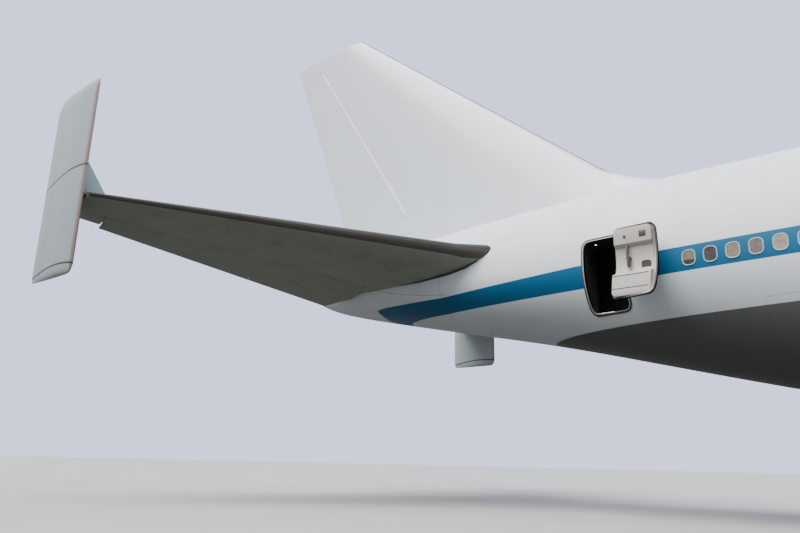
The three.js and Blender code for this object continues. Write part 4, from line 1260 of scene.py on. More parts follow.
def chord_direction(section):
    pitch = math.radians(section.get("pitch", 0))
    return Vector((-math.cos(pitch), 0, -math.sin(pitch)))


def chord_spot(sections, across, share):
    """A place on the chord plane between two sections."""
    spots = [
        section["lead"] + chord_direction(section) * (share * section["chord"] / 2)
        for section in sections
    ]
    return spots[0].lerp(spots[1], across)


class Hinge:
    """The line that a control surface turns about, and the outlines that part it from its panel."""

    def __init__(
        self, sections, hinge, start, end, swing, slants=(0, 0), droop=0, splits=(False, False)
    ):
        self.start, self.end, self.droop = start, end, droop
        self.splits = splits
        self.thick = [
            half_thickness(hinge) * row["thick"] * row["chord"] / 2 * NOSE_SHARE
            for row in sections
        ]
        self.first = chord_spot(sections, start, hinge)
        last = chord_spot(sections, end, hinge)
        self.axis = (last - self.first).normalized()
        self.span = (last - self.first).length
        tail = chord_spot(sections, start, 1) - self.first
        self.tails = (tail.length, (chord_spot(sections, end, 1) - last).length)
        self.back = (tail - self.axis * tail.dot(self.axis)).normalized()
        self.normal = self.axis.cross(self.back)
        self.slants = slants
        self.lip = math.sin(math.radians(swing))

    def at(self, along, aft):
        return self.first + self.axis * along + self.back * aft

    def radius(self, along):
        share = between(self.start, self.end, along / self.span)
        return between(*self.thick, share)

    def edge(self, along, slant):
        """An end of the surface: square to the hinge line at first, then slanting."""
        tail = between(*self.tails, along / self.span)
        square, far = tail * SQUARE_SHARE, tail * 1.4
        return [
            self.at(along, 0),
            self.at(along, square),
            self.at(along + slant * (far - square), far),
        ]

    def shape(self, name, corners):
        """A slab over an outline, through the whole thickness of the panel."""
        depth = self.normal * self.radius(0) * 3
        open_mesh()
        slab([corner - depth for corner in corners], depth * 2)
        return close_mesh(name)

    def roll(self, name, start, end, gap=0.0):
        """The round nose about the hinge line."""
        open_mesh()
        radii = (self.radius(start) + gap, self.radius(end) + gap)
        bar(self.at(start, 0), self.at(end, 0), *radii, sides=40)
        face_outwards()
        return close_mesh(name)

    def surface(self, whole, name):
        """The moving surface, cut from a copy of the panel, with its round nose."""
        part = copy_of(whole, name)
        margins = [SPLIT_GAP / 2 if split else HINGE_GAP for split in self.splits]
        start, end = margins[0], self.span - margins[1]
        corners = self.edge(end, self.slants[1]) + self.edge(start, self.slants[0])[::-1]
        carve(part, self.shape("area", corners), "INTERSECT")
        return self.drooped(joined([part, self.roll("nose", start, end)], name))

    def drooped(self, thing):
        """Turns a piece about the hinge line to where the surface hangs at rest."""
        if self.droop:
            middle = Matrix.Translation(self.first)
            swung = Matrix.Rotation(math.radians(self.droop), 4, self.axis)
            moved(thing, middle @ swung @ middle.inverted())
        return thing


def clear_room(whole, first, last):
    """Cuts the room for one surface, or for two on one hinge line, out of the panel."""
    ahead = [
        hinge.at(along, -hinge.radius(along) * hinge.lip * LIP_MARGIN)
        for hinge, along in ((first, 0), (last, last.span))
    ]
    corners = ahead + last.edge(last.span, last.slants[1]) + first.edge(0, first.slants[0])[::-1]
    room = first.shape("room", corners)
    reach = (last.at(last.span, 0) - first.first).length
    carve(room, first.roll("room_roll", -HINGE_GAP, reach + HINGE_GAP, HINGE_GAP), "UNION")
    carve(whole, room)


def both_sides(thing, name, body, slot, material, *nodes, smooth=35):
    """Finishes a right-hand piece and its mirror image; names hold {} for the side's word."""
    twin = mirrored(thing, name.format("left"))
    thing.name = name.format("right")
    thing.data.name = thing.name
    for part, word in ((thing, "right"), (twin, "left")):
        stood_for = [node.format(word) for node in nodes]
        finished(part, body.format(word), slot, material, *stood_for, smooth=smooth)


# Fin and rudders

FIN_BASE = 8.4
FIN_TOP = 19.33
FIN_SLOPE = 11.84 / 9.83
FIN_TRAIL_SLOPE = 4.05 / 9.83
FIN_ROOT_LEAD = 66.46 - (FIN_TOP - FIN_BASE) * FIN_SLOPE
DORSAL_ROWS = [(8.4, 2.6), (9.3, 1.9), (9.52, 1.05), (9.72, 0.55), (9.95, 0.24), (10.5, 0)]
RUDDERS = {
    "rudder_lower": {"start": 0.185, "end": 0.428, "slants": (0.25, 0.63), "splits": (False, True)},
    "rudder_upper": {"start": 0.428, "end": 0.94, "slants": (0.63, 0.5), "splits": (True, False)},
}


def fin_section(height, thick, ahead=0, chord=None):
    lead = FIN_ROOT_LEAD + (height - FIN_BASE) * FIN_SLOPE
    trail = 2 * MIDDLE - (FIN_TOP - height) * FIN_TRAIL_SLOPE
    return {
        "lead": place(lead - ahead, 0, height),
        "chord": chord or trail - lead,
        "thick": thick,
    }


FIN_SECTIONS = [fin_section(FIN_BASE, 0.1), fin_section(FIN_TOP, 0.085)]


def fin_and_rudders():
    whole = panel("fin_skin", FIN_SECTIONS, upright=True)
    hinges = {
        name: Hinge(FIN_SECTIONS, 0.7, swing=25, **row)
        for name, row in RUDDERS.items()
    }
    for name, hinge in hinges.items():
        rudder = hinge.surface(whole, name + "_skin")
        finished(rudder, name, "tail_paint", PAINT["fin"], name)
    clear_room(whole, hinges["rudder_lower"], hinges["rudder_upper"])
    rows = [fin_section(height, 0.1, reach, 6 + reach) for height, reach in DORSAL_ROWS]
    fillet = panel("dorsal_fillet", rows, upright=True)
    fin = joined([whole, fillet], "fin_skin")
    finished(fin, AIRFRAME, "tail_paint", PAINT["fin"], "fin")
    return hinges


# Tailplane, elevators and end plates

TAIL_DIHEDRAL = math.tan(math.radians(7))
TAIL_SPAN = 11.03
TAIL_LEAD = 56.5
TAIL_SWEEP = 0.927
TAIL_PITCH = 0.8
ELEVATORS = {
    "elevator_inner": {"start": 0.165, "end": 0.495, "slants": (0.4, -0.2), "splits": (False, True)},
    "elevator_outer": {"start": 0.495, "end": 0.905, "slants": (-0.2, 0.25), "splits": (True, False)},
}


def tail_height(side):
    return 7.51 + (side - 1.7) * TAIL_DIHEDRAL


def tail_section(side, chord, thick, set_back=0.0):
    lead = place(TAIL_LEAD + side * TAIL_SWEEP + set_back, -side, tail_height(side))
    return {"lead": lead, "chord": chord, "thick": thick, "pitch": TAIL_PITCH}


TAIL_SECTIONS = [tail_section(0.4, 9.38, 0.11), tail_section(TAIL_SPAN, 2.3, 0.09)]


def tailplane():
    whole = panel("tailplane_skin", TAIL_SECTIONS)
    hinges = {
        name: Hinge(TAIL_SECTIONS, 0.65, swing=25, droop=8, **row)
        for name, row in ELEVATORS.items()
    }
    for name, hinge in hinges.items():
        elevator = hinge.surface(whole, name)
        label = name + "_{}"
        both_sides(elevator, label + "_skin", label, "tail_paint", PAINT["tail"], label)
    clear_room(whole, hinges["elevator_inner"], hinges["elevator_outer"])
    both_sides(whole, "tailplane_{}_skin", AIRFRAME, "tail_paint", PAINT["tail"], "tailplane_{}")
    return hinges


CUFF_SECTIONS = [tail_section(1.6, 8.0, 0.128, -0.5), tail_section(3.4, 5.5, 0.1, 0.1)]
CUFF_END = 63.2


def root_cuffs():
    """The fairing where the tailplane's nose meets the body; it ends ahead of the elevator."""
    cuff = panel("root_cuff", CUFF_SECTIONS)
    reopen(cuff)
    pick_all()
    bpy.ops.mesh.bisect(
        plane_co=place(CUFF_END, 0, 0), plane_no=(1, 0, 0), clear_inner=True, use_fill=True
    )
    leave_mesh()
    both_sides(cuff, "root_cuff_{}", AIRFRAME, "tail_paint", PAINT["tail"])


PLATE_LEAD = 66.85
PLATE_CHORD = 2.52
PLATE_SIDE = TAIL_SPAN + 0.17
# Height, how far the leading and trailing edges are set in, and thickness share
PLATE_ROWS = [
    (6.22, 0.2, 0.12, 0.035),
    (6.26, 0.1, 0.06, 0.065),
    (6.32, 0.06, 0.03, 0.08),
    (6.5, 0, 0, 0.1),
    (11.9, 0, 0, 0.1),
    (12.14, 0, 0.1, 0.1),
    (12.3, 0, 0.25, 0.09),
    (12.4, 0, 0.5, 0.06),
]
GUSSET_ROWS = [
    (PLATE_LEAD + 0.1, 0.2, 0.3),
    (PLATE_LEAD + 0.3, 1.1, 1.22),
    (PLATE_LEAD + 0.8, 1.0, 1.15),
    (PLATE_LEAD + 1.8, 0.15, 0.3),
]


def end_plates():
    sections = [
        {
            "lead": place(PLATE_LEAD + inset, -PLATE_SIDE, height),
            "chord": PLATE_CHORD - inset - trail,
            "thick": thick,
        }
        for height, inset, trail, thick in PLATE_ROWS
    ]
    plate = panel("plate", sections, upright=True)
    both_sides(
        plate, "end_plate_{}_skin", AIRFRAME, "tail_paint", PAINT["plate"], "end_plate_{}"
    )
    open_mesh()
    edge = PLATE_SIDE - 0.02
    for station, reach, rise in GUSSET_ROWS:
        corners = [
            (edge, tail_height(edge)),
            (edge - reach, tail_height(edge - reach)),
            (edge - 0.06, tail_height(edge) + rise),
            (edge, tail_height(edge) + rise),
        ]
        chain([place(station, -side, height) for side, height in corners])
        bpy.ops.mesh.edge_face_add()
        bpy.ops.mesh.delete(type="ONLY_FACE")
    loft()
    gusset = softened(close_mesh("gusset"), 0.02, 3, 20)
    both_sides(gusset, "gusset_{}", AIRFRAME, "tail_paint", PAINT["teal"])


rudder_hinges = fin_and_rudders()
elevator_hinges = tailplane()
root_cuffs()
end_plates()


# Wings

WING_DIHEDRAL = math.tan(math.radians(7))
WING_ROWS = [
    {"side": 3.0, "chord": 14.66, "thick": 0.134, "pitch": 2.5},
    {"side": 11.8, "chord": 9.0, "thick": 0.098, "pitch": 1.5},
    {"side": 29.32, "chord": 4.2, "thick": 0.08, "pitch": 0},
    {"side": 29.62, "chord": 3.84, "thick": 0.07, "pitch": 0, "sweep": 0.14},
    {"side": 29.82, "chord": 3.3, "thick": 0.045, "pitch": 0, "sweep": 0.5},
]
AILERONS = {
    "aileron_inner": {"start": 0.06, "end": 0.15, "swing": 20},
    "aileron_outer": {"start": 0.56, "end": 0.95, "swing": 25},
}
# Side, length, radius and drop of the pods that cover the flap tracks
TRACK_PODS = [(5.9, 4.6, 0.34, 0.6), (9.4, 4.4, 0.32, 0.5), (15.9, 3.9, 0.28, 0.42), (19.4, 3.6, 0.26, 0.36)]
POD_SHAPE = [
    (0, 0),
    (0.03, 0.33),
    (0.12, 0.75),
    (0.28, 0.93),
    (0.45, 1),
    (0.62, 0.92),
    (0.78, 0.7),
    (0.92, 0.32),
    (1, 0),
]


def wing_height(side):
    return 3.3 + (side - 3.4) * WING_DIHEDRAL


def wing_lead(side):
    return 19.2 + 0.87 * side


def wing_section(row):
    side = row["side"]
    lead = wing_lead(side) + row.get("sweep", 0)
    return {**row, "lead": place(lead, -side, wing_height(side))}


def trailing_edge(side):
    a, b = WING_ROWS[:2] if side < WING_ROWS[1]["side"] else WING_ROWS[1:3]
    share = (side - a["side"]) / (b["side"] - a["side"])
    return wing_lead(side) + between(a["chord"], b["chord"], share)


def wings():
    sections = [wing_section(row) for row in WING_ROWS]
    whole = panel("wing_skin", sections)
    hinges = {
        name: Hinge(sections[1:3], 0.76, **row)
        for name, row in AILERONS.items()
    }
    for name, hinge in hinges.items():
        aileron = hinge.surface(whole, name)
        label = name + "_{}"
        both_sides(aileron, label + "_skin", label, "wing_paint", PAINT["wing"], label)
    for hinge in hinges.values():
        clear_room(whole, hinge, hinge)
    both_sides(whole, "wing_{}_skin", AIRFRAME, "wing_paint", PAINT["wing"], "wing_{}")
    open_mesh()
    for side, length, radius, drop in TRACK_PODS:
        start = trailing_edge(side) - length + 0.55
        profile = [(along * length / 2, share * radius / 2) for along, share in POD_SHAPE]
        lathe(place(start, -side, wing_height(side) - drop), AFT, profile, 32)
    pods = close_mesh("flap_track_pods")
    both_sides(pods, "flap_track_pods_{}", AIRFRAME, "wing_paint", PAINT["wing"])
    return hinges


aileron_hinges = wings()


# Engines: one of each part is made with its lip at the origin, then copied to its four places

ENGINES = [
    {"name": "inner", "side": 11.8, "lip": 23.9, "height": 2.33},
    {"name": "outer", "side": 21.2, "lip": 32.1, "height": 3.2},
]
ORIGIN = Vector((0, 0, 0))
FAN_FACE = 1.15
CORE_FRONT = FAN_FACE + 0.42
COWL_SHAPE = [
    (0.16, 1.315),
    (0.35, 1.36),
    (0.6, 1.388),
    (1.0, 1.4),
    (1.4, 1.4),
    (1.9, 1.378),
    (2.4, 1.34),
    (2.9, 1.278),
    (3.3, 1.21),
    (3.3, 1.175),
    (2.6, 1.19),
    (2.0, 1.19),
    (0.9, 1.19),
    (0.6, 1.165),
    (0.35, 1.142),
    (0.2, 1.142),
    (0.16, 1.315),
]
LIP_SHAPE = [
    (0.17, 1.144),
    (0.08, 1.156),
    (0.02, 1.18),
    (0.0, 1.21),
    (0.01, 1.24),
    (0.05, 1.275),
    (0.11, 1.302),
    (0.17, 1.318),
    (0.2, 1.25),
    (0.17, 1.144),
]
CORE_SHAPE = [
    (CORE_FRONT, 0.0),
    (CORE_FRONT, 0.7),
    (2.3, 0.79),
    (3.2, 0.84),
    (3.7, 0.83),
    (4.2, 0.8),
    (4.7, 0.72),
    (5.1, 0.62),
    (5.1, 0.58),
    (4.8, 0.56),
    (4.8, 0.0),
]
PLUG_SHAPE = [
    (4.7, 0.0),
    (4.7, 0.5),
    (5.0, 0.48),
    (5.3, 0.41),
    (5.6, 0.3),
    (5.85, 0.17),
    (6.0, 0.07),
    (6.05, 0.0),
]
SPINNER_SHAPE = [
    (FAN_FACE - 0.42, 0.0),
    (FAN_FACE - 0.4, 0.08),
    (FAN_FACE - 0.32, 0.19),
    (FAN_FACE - 0.18, 0.31),
    (FAN_FACE + 0.0, 0.39),
    (FAN_FACE + 0.12, 0.42),
    (FAN_FACE + 0.4, 0.42),
    (FAN_FACE + 0.4, 0.0),
]
FAN_BLADES = 46
VANES = 40


def turned_part(name, shape, steps=64):
    """A turned engine part; shape rows are metres aft of the lip and radius."""
    open_mesh()
    lathe(ORIGIN, AFT, [(along / 2, radius / 2) for along, radius in shape], steps)
    return close_mesh(name)


def ring_of(thing, count, name):
    """Copies of an object, set evenly about the engine's axis and joined."""
    things = [thing]
    for number in range(1, count):
        twin = copy_of(thing, f"{name}_{number}")
        things.append(moved(twin, Matrix.Rotation(2 * math.pi * number / count, 4, "X")))
    return joined(things, name)


def blade(name, rows, aft):
    """A twisted blade along +Z: rows are radius, chord, thickness and lean in degrees."""
    open_mesh()
    for radius, chord, thick, lean in rows:
        middle = Vector((-aft / 2, 0, radius / 2))
        bpy.ops.mesh.primitive_circle_add(vertices=10, radius=0.25, location=middle)
        stretch(chord, thick, 1, middle)
        turn(lean, "Z", middle)
    loft()
    return close_mesh(name)


def engine_parts():
    """The parts at the origin, by name: object, finish and the nodes they stand for."""
    fan_rows = [
        (0.38, 0.26, 0.05, 25),
        (0.6, 0.29, 0.035, 38),
        (0.86, 0.32, 0.022, 49),
        (1.155, 0.34, 0.014, 60),
    ]
    blades = ring_of(blade("blade", fan_rows, FAN_FACE + 0.2), FAN_BLADES, "blades")
    snubber = turned_part(
        "snubber",
        [(0, 0.8), (0.07, 0.8), (0.07, 0.83), (0, 0.83), (0, 0.8)],
        92,
    )
    moved(snubber, Matrix.Translation(AFT * (FAN_FACE + 0.17) / 2))
    vane_rows = [(0.68, 0.3, 0.03, 8), (1.2, 0.3, 0.03, -4)]
    vanes = ring_of(blade("vane", vane_rows, CORE_FRONT + 0.3), VANES, "vanes")
    back = turned_part(
        "fan_duct_frame",
        [(1.95, 0.7), (1.95, 1.19), (2.05, 1.19), (2.05, 0.7), (1.95, 0.7)],
    )
    return {
        "cowl": (turned_part("cowl", COWL_SHAPE, 96), "cowl", []),
        "intake_lip": (turned_part("intake_lip", LIP_SHAPE, 96), "bare", ["cowl"]),
        "core": (turned_part("core", CORE_SHAPE), "hot", []),
        "exhaust_plug": (turned_part("exhaust_plug", PLUG_SHAPE), "hot", ["core"]),
        "fan_vanes": (vanes, "fan", []),
        # The ring that closes the duct behind the fan is near black, as painted shade.
        "duct_frame": (back, "dark", []),
        "spinner": (turned_part("spinner", SPINNER_SHAPE), "fan", []),
        "fan_blades": (joined([blades, snubber], "fan_blades"), "fan", ["fan"]),
    }


TURNING_PARTS = ("spinner", "fan_blades")


def engines():
    parts = engine_parts()
    for engine in ENGINES:
        for word, sign in SIDES:
            tag = engine["name"] + "_" + word
            spot = place(engine["lip"], sign * engine["side"], engine["height"])
            for name, (pattern, paint, nodes) in parts.items():
                part = moved(copy_of(pattern, f"{name}_{tag}_part"), Matrix.Translation(spot))
                turning = name in TURNING_PARTS
                body = "fan_" + tag if turning else AIRFRAME
                slot = "fan_metal" if turning else "engine_metal"
                stood_for = [node + "_" + tag for node in nodes]
                finished(part, body, slot, PAINT[paint], *stood_for)
    for pattern, _, _ in parts.values():
        bpy.data.objects.remove(pattern)


def pylons():
    """The struts that carry the engines, thin upright slabs with round fronts."""
    for engine in ENGINES:
        side, lip, height = engine["side"], engine["lip"], engine["height"]
        under = wing_height(side)
        rows = [
            (height + 0.6, 2.1, 5.0, 0.17),
            (height + 1.2, 2.1, 5.9, 0.23),
            (height + 1.26, 0.9, 6.0, 0.23),
            (height + 1.5, 1.2, 6.7, 0.24),
            (under - 0.5, 2.3, 8.6, 0.24),
            (under + 0.1, 3.9, 9.4, 0.2),
        ]
        sections = [
            {
                "lead": place(lip + start, -side, level),
                "chord": end - start,
                "thick": 2 * half / (end - start),
            }
            for level, start, end, half in rows
        ]
        pylon = panel("pylon", sections, upright=True)
        tag = engine["name"] + "_{}"
        node = "pylon_" + tag
        both_sides(pylon, node + "_skin", AIRFRAME, "pylon_paint", PAINT["cowl"], node)


engines()
pylons()


# Landing gear

TYRE_RADIUS = 0.585
HALF_TRACK = 0.56
TRUCK_HALF_BASE = 0.737
WING_GEAR = {"station": 31.77, "side": 5.5}
NOSE_GEAR = {"station": 7.7, "radius": 0.62, "half_track": 0.457}
# Half of a tyre's outline: distance across and radius, as shares of the tyre's radius
TYRE_SIDE = [
    (-0.235, 0.6),
    (-0.29, 0.66),
    (-0.335, 0.76),
    (-0.33, 0.86),
    (-0.285, 0.94),
    (-0.2, 0.985),
    (-0.15, 0.995),
    (-0.145, 0.97),
    (-0.115, 0.97),
    (-0.11, 1.0),
    (-0.025, 1.0),
    (-0.02, 0.972),
]
OTHER_SIDE = [(-away, share) for away, share in reversed(TYRE_SIDE)]
TYRE_SHAPE = TYRE_SIDE + OTHER_SIDE + TYRE_SIDE[:1]
RIM_SHAPE = [
    (-0.24, 0.0),
    (-0.24, 0.16),
    (-0.14, 0.2),
    (-0.12, 0.36),
    (-0.2, 0.46),
    (-0.27, 0.56),
    (-0.27, 0.61),
    (-0.22, 0.62),
    (0.22, 0.62),
    (0.27, 0.61),
    (0.27, 0.56),
    (0.2, 0.46),
    (0.1, 0.38),
    (0.08, 0.22),
    (0.2, 0.2),
    (0.24, 0.12),
    (0.25, 0.0),
]
RIM_BOLTS = 12
RIM_HOLES = 8


def wheel_pair(name, station, side, radius, half_track, body):
    """Two tyres and rims on one axle, with bolts and a hub cap on each rim."""
    size = radius / 2
    spots = [place(station, side + way * half_track, radius) for way in (LEFT, RIGHT)]
    open_mesh()
    for spot in spots:
        lathe(spot, OUT, [(away * size, share * size) for away, share in TYRE_SHAPE], 56)
    finished(close_mesh(name + "_tyres"), body, "tyre_rubber", PAINT["tyre"], name, smooth=30)
    open_mesh()
    for spot, way in zip(spots, (LEFT, RIGHT)):
        outward = OUT * way
        lathe(spot, outward, [(away * size, share * size) for away, share in RIM_SHAPE], 40)
        for number in range(RIM_BOLTS):
            angle = 2 * math.pi * number / RIM_BOLTS
            round_spot = spot + Vector((math.cos(angle), 0, math.sin(angle))) * size * 0.29
            start = round_spot + outward * size * 0.06
            bar(start, start + outward * size * 0.06, size * 0.028, sides=6)
        for number in range(RIM_HOLES):
            angle = 2 * math.pi * (number + 0.5) / RIM_HOLES
            round_spot = spot + Vector((math.cos(angle), 0, math.sin(angle))) * size * 0.47
            start = round_spot + outward * size * 0.17
            bar(start, start + outward * size * 0.05, size * 0.05, size * 0.035, sides=12)
        bar(spot + outward * size * 0.24, spot + outward * size * 0.3, size * 0.13, size * 0.1)
    bar(spots[0], spots[1], 0.055)
    finished(close_mesh(name + "_rims"), body, "gear_metal", PAINT["gear"], smooth=30)


def truck(station, side, name, body):
    """The beam between a truck's axles, with brake packs, rods and a levelling damper."""
    open_mesh()
    height = TYRE_RADIUS
    front = place(station - TRUCK_HALF_BASE - 0.14, side, height)
    rear = place(station + TRUCK_HALF_BASE + 0.14, side, height)
    beam(front, rear, 0.12, 0.15)
    for end in (-1, 1):
        along = station + end * TRUCK_HALF_BASE
        bar(place(along, side - 0.14, height), place(along, side + 0.14, height), 0.1, sides=28)
        for way in (LEFT, RIGHT):
            inner = place(along, side + way * 0.2, height)
            bar(inner, inner + OUT * way * 0.06, 0.125, sides=28)
    for way in (LEFT, RIGHT):
        offset = side + way * 0.11
        low = place(station - TRUCK_HALF_BASE, offset, height + 0.2)
        high = place(station + TRUCK_HALF_BASE, offset, height + 0.2)
        bar(low, high, 0.016, sides=10)
    bar(
        place(station - 0.55, side, height + 0.15),
        place(station - 0.1, side, height + 0.5),
        0.035,
        sides=16,
    )
    beam_piece = softened(close_mesh(name), 0.008, 2)
    return finished(beam_piece, body, "gear_metal", PAINT["gear"], smooth=40)


def torque_links(station, side, low, high, reach):
    """Two forked arms that keep the wheels in line with the leg."""
    elbow = place(station + reach, side, (low + high) / 2)
    for way in (LEFT, RIGHT):
        spread = OUT * way * 0.035
        beam(place(station + 0.08, side, low) + spread * 1.6, elbow + spread * 0.5, 0.018, 0.05)
        beam(place(station + 0.1, side, high) + spread * 1.6, elbow + spread * 0.5, 0.018, 0.05)
    bar(elbow - OUT * 0.04, elbow + OUT * 0.04, 0.022, sides=16)


def hose(spots, radius):
    """A thin pipe through places, as short straight runs with round joints."""
    for before, after in zip(spots, spots[1:]):
        bar(before, after, radius, sides=8)
        bpy.ops.mesh.primitive_uv_sphere_add(segments=8, ring_count=6, radius=radius, location=after)


def wing_gear():
    station, side = WING_GEAR["station"], -WING_GEAR["side"]
    at = lambda along, across, height: place(station + along, side + across, height)
    truck(station, side, "wing_truck_right", AIRFRAME)
    open_mesh()
    bar(at(0, 0, 1.25), at(0, 0, 3.35), 0.11, sides=32)
    bar(at(0, 0, 1.22), at(0, 0, 1.4), 0.13, sides=32)
    bar(at(0, 0, 2.02), at(0, 0, 2.14), 0.125, sides=32)
    bar(at(0, 0, 0.55), at(0, 0, 0.85), 0.1, 0.085, sides=32)
    bar(at(0, 0, 1.9), at(0, 1.6, 2.9), 0.05)
    bar(at(0, 0.75, 2.37), at(0, 0.95, 2.5), 0.06)
    bar(at(0, 0, 1.6), at(-1.7, 0, 2.9), 0.04)
    bar(at(-0.8, 0, 2.21), at(-0.95, 0, 2.33), 0.05)
    beam(at(0, -0.1, 1.9), at(0, 0.16, 1.93), 0.1, 0.12)
    torque_links(station, side, 0.85, 1.48, 0.42)
    leg = softened(close_mesh("wing_gear_leg"), 0.006, 2)
    both_sides(leg, "wing_gear_leg_{}", AIRFRAME, "gear_metal", PAINT["gear"], "wing_gear_{}")
    open_mesh()
    bar(at(0, 0, 0.7), at(0, 0, 1.3), 0.07, sides=32)
    both_sides(close_mesh("rod"), "wing_gear_piston_{}", AIRFRAME, "gear_metal", PAINT["steel"])
    open_mesh()
    hose([at(0.2, 0.12, 3.0), at(0.24, 0.12, 1.9), at(0.3, 0.1, 1.35), at(0.34, 0.08, 0.8)], 0.012)
    both_sides(close_mesh("pipe"), "wing_gear_pipe_{}", AIRFRAME, "gear_metal", PAINT["seal"])
    open_mesh()
    block(at(0.5, -0.445, 1.32), at(-0.62, -0.395, 2.55))
    pick_faces(lambda spot, normal: abs(normal.y) > 0.9)
    bpy.ops.mesh.inset(thickness=0.03)
    door = softened(close_mesh("door_plate"), 0.008, 2)
    both_sides(door, "wing_gear_door_{}", AIRFRAME, "gear_metal", PAINT["cowl"])
    open_mesh()
    bar(at(0, 0, 1.6), at(0, -0.4, 1.7), 0.03)
    bar(at(0, 0, 2.3), at(0, -0.4, 2.35), 0.03)
    both_sides(close_mesh("links"), "wing_gear_door_links_{}", AIRFRAME, "gear_metal", PAINT["gear"])


def body_gear():
    station, side = BODY_GEAR["station"], -BODY_GEAR["side"]
    at = lambda along, across, height: place(station + along, side + across, height)
    open_mesh()
    bar(at(0, 0, 1.35), at(0, 0, BODY_WELL_TOP), 0.11, sides=32)
    bar(at(0, 0, 1.32), at(0, 0, 1.48), 0.128, sides=32)
    bar(at(0, 0, 0.76), at(0, 0, 0.95), 0.1, 0.09, sides=32)
    bar(at(0, 0, 1.45), at(-1.1, 0, 2.6), 0.04)
    bar(at(0, 0, 1.55), at(0, 0.5, 2.6), 0.04)
    torque_links(station, side, 0.9, 1.5, 0.36)
    leg = softened(close_mesh("body_gear_leg"), 0.006, 2)
    both_sides(leg, "body_gear_leg_{}", AIRFRAME, "gear_metal", PAINT["gear"], "body_gear_{}")
    open_mesh()
    bar(at(0, 0, 0.85), at(0, 0, 1.4), 0.075, sides=32)
    both_sides(close_mesh("rod"), "body_gear_piston_{}", AIRFRAME, "gear_metal", PAINT["steel"])


def nose_gear():
    station = NOSE_GEAR["station"]
    half = NOSE_WELL["half"]
    at = lambda along, across, height: place(station + along, across, height)
    open_mesh()
    bar(at(0, 0, 1.55), at(0, 0, 3.08), 0.095, sides=32)
    bar(at(0, 0, 1.56), at(0, 0, 1.7), 0.11, sides=32)
    bar(at(0, 0, 2.2), at(0, 0, 2.3), 0.108, sides=32)
    bar(at(0, 0, 1.75), at(-1.7, 0, 2.98), 0.045)
    bar(at(-1.7, -half, 2.9), at(-1.7, half, 2.9), 0.035)
    strut = softened(close_mesh("nose_gear_strut_leg"), 0.006, 2)
    finished(strut, AIRFRAME, "gear_metal", PAINT["gear"], "nose_gear_strut")
    open_mesh()
    bar(at(0, 0, 1.33), at(0, 0, 1.54), 0.105, sides=32)
    bar(at(0, 0, 0.52), at(0, 0, 0.8), 0.085, 0.07, sides=32)
    bar(at(0, -0.18, 0.62), at(0, 0.18, 0.62), 0.075, sides=28)
    torque_links(station, 0, 0.74, 1.42, -0.42)
    beam(at(-0.1, 0, 1.36), at(-0.36, 0, 1.36), 0.06, 0.05)
    fork = softened(close_mesh("nose_gear_fork_collar"), 0.006, 2)
    finished(fork, "nose_gear_fork", "gear_metal", PAINT["gear"], "nose_gear_fork")
    open_mesh()
    bar(at(0, 0, 0.7), at(0, 0, 1.5), 0.055, sides=32)
    finished(close_mesh("nose_gear_piston"), "nose_gear_fork", "gear_metal", PAINT["steel"])
    for way in (LEFT, RIGHT):
        open_mesh()
        spot = at(-0.3, way * 0.14, 1.36)
        lathe(spot, -AFT, [(0, 0), (0, 0.03), (0.05, 0.045), (0.06, 0.045), (0.062, 0)], 24)
        lamp_name = "taxi_lamp_" + ("left" if way == LEFT else "right")
        finished(close_mesh(lamp_name), "nose_gear_fork", "gear_metal", PAINT["clear"])
    for word, way in SIDES:
        open_mesh()
        side = way * (half + 0.05)
        block(place(8.6, side - 0.03, 1.38), place(5.3, side + 0.03, 2.6))
        door = softened(close_mesh("nose_gear_door_" + word), 0.01, 3)
        fitting(door, "belly")


def landing_gear():
    nose_gear()
    wing_gear()
    body_gear()
    station = NOSE_GEAR["station"]
    wheel_pair(
        "nose_wheels", station, 0, NOSE_GEAR["radius"], NOSE_GEAR["half_track"], "nose_wheels"
    )
    for word, sign in SIDES:
        for gear, spot in (("wing", WING_GEAR), ("body", BODY_GEAR)):
            side = sign * spot["side"]
            for row, end in (("front", -1), ("rear", 1)):
                name = "_".join([gear, "wheels", row, word])
                along = spot["station"] + end * TRUCK_HALF_BASE
                wheel_pair(name, along, side, TYRE_RADIUS, HALF_TRACK, name)
        name = "body_truck_" + word
        beam_piece = truck(BODY_GEAR["station"], sign * BODY_GEAR["side"], name + "_beam", name)
        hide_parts(name)
    truck(WING_GEAR["station"], WING_GEAR["side"], "wing_truck_left", AIRFRAME)


landing_gear()


# Windows


def skin_spot(skin, station, sign, height):
    """Where a level line from the side meets the skin, and the skin's normal there."""
    start = place(station, sign * 12, height)
    found, spot, normal, _ = skin.ray_cast(start, -OUT * sign)
    return (spot, normal) if found else (None, None)


def set_on(spot, normal, upward=UP):
    """A frame with +Y along a normal and +Z as near upward as it can be."""
    across = normal.cross(upward).normalized()
    over = across.cross(normal)
    turned = Matrix((across, normal, over)).transposed().to_4x4()
    return Matrix.Translation(spot) @ turned


def window_pattern(width, tall, corner):
    """A window in its raised frame, facing +Y."""
    open_mesh()
    rounded(ORIGIN, width / 2, tall / 2, corner / 2, -AFT, UP, segments=5)
    shift((0, -0.006, 0))
    extrude((0, 0.009, 0))
    bpy.ops.mesh.inset(thickness=0.003)
    shift((0, 0.002, 0))
    bpy.ops.mesh.inset(thickness=0.008)
    bpy.ops.mesh.inset(thickness=0.003)
    shift((0, -0.003, 0))
    pick_all()
    bpy.ops.mesh.normals_make_consistent(inside=False)
    pattern = close_mesh("window_pattern")
    pattern.data.materials.append(PAINT["frame"])
    pattern.data.materials.append(PAINT["pane"])
    reopen(pattern)
    pick_faces(lambda spot, normal: normal.y > 0.9 and spot.xz.length < 0.02)
    pattern.active_material_index = 1
    bpy.ops.object.material_slot_assign()
    leave_mesh()
    return pattern


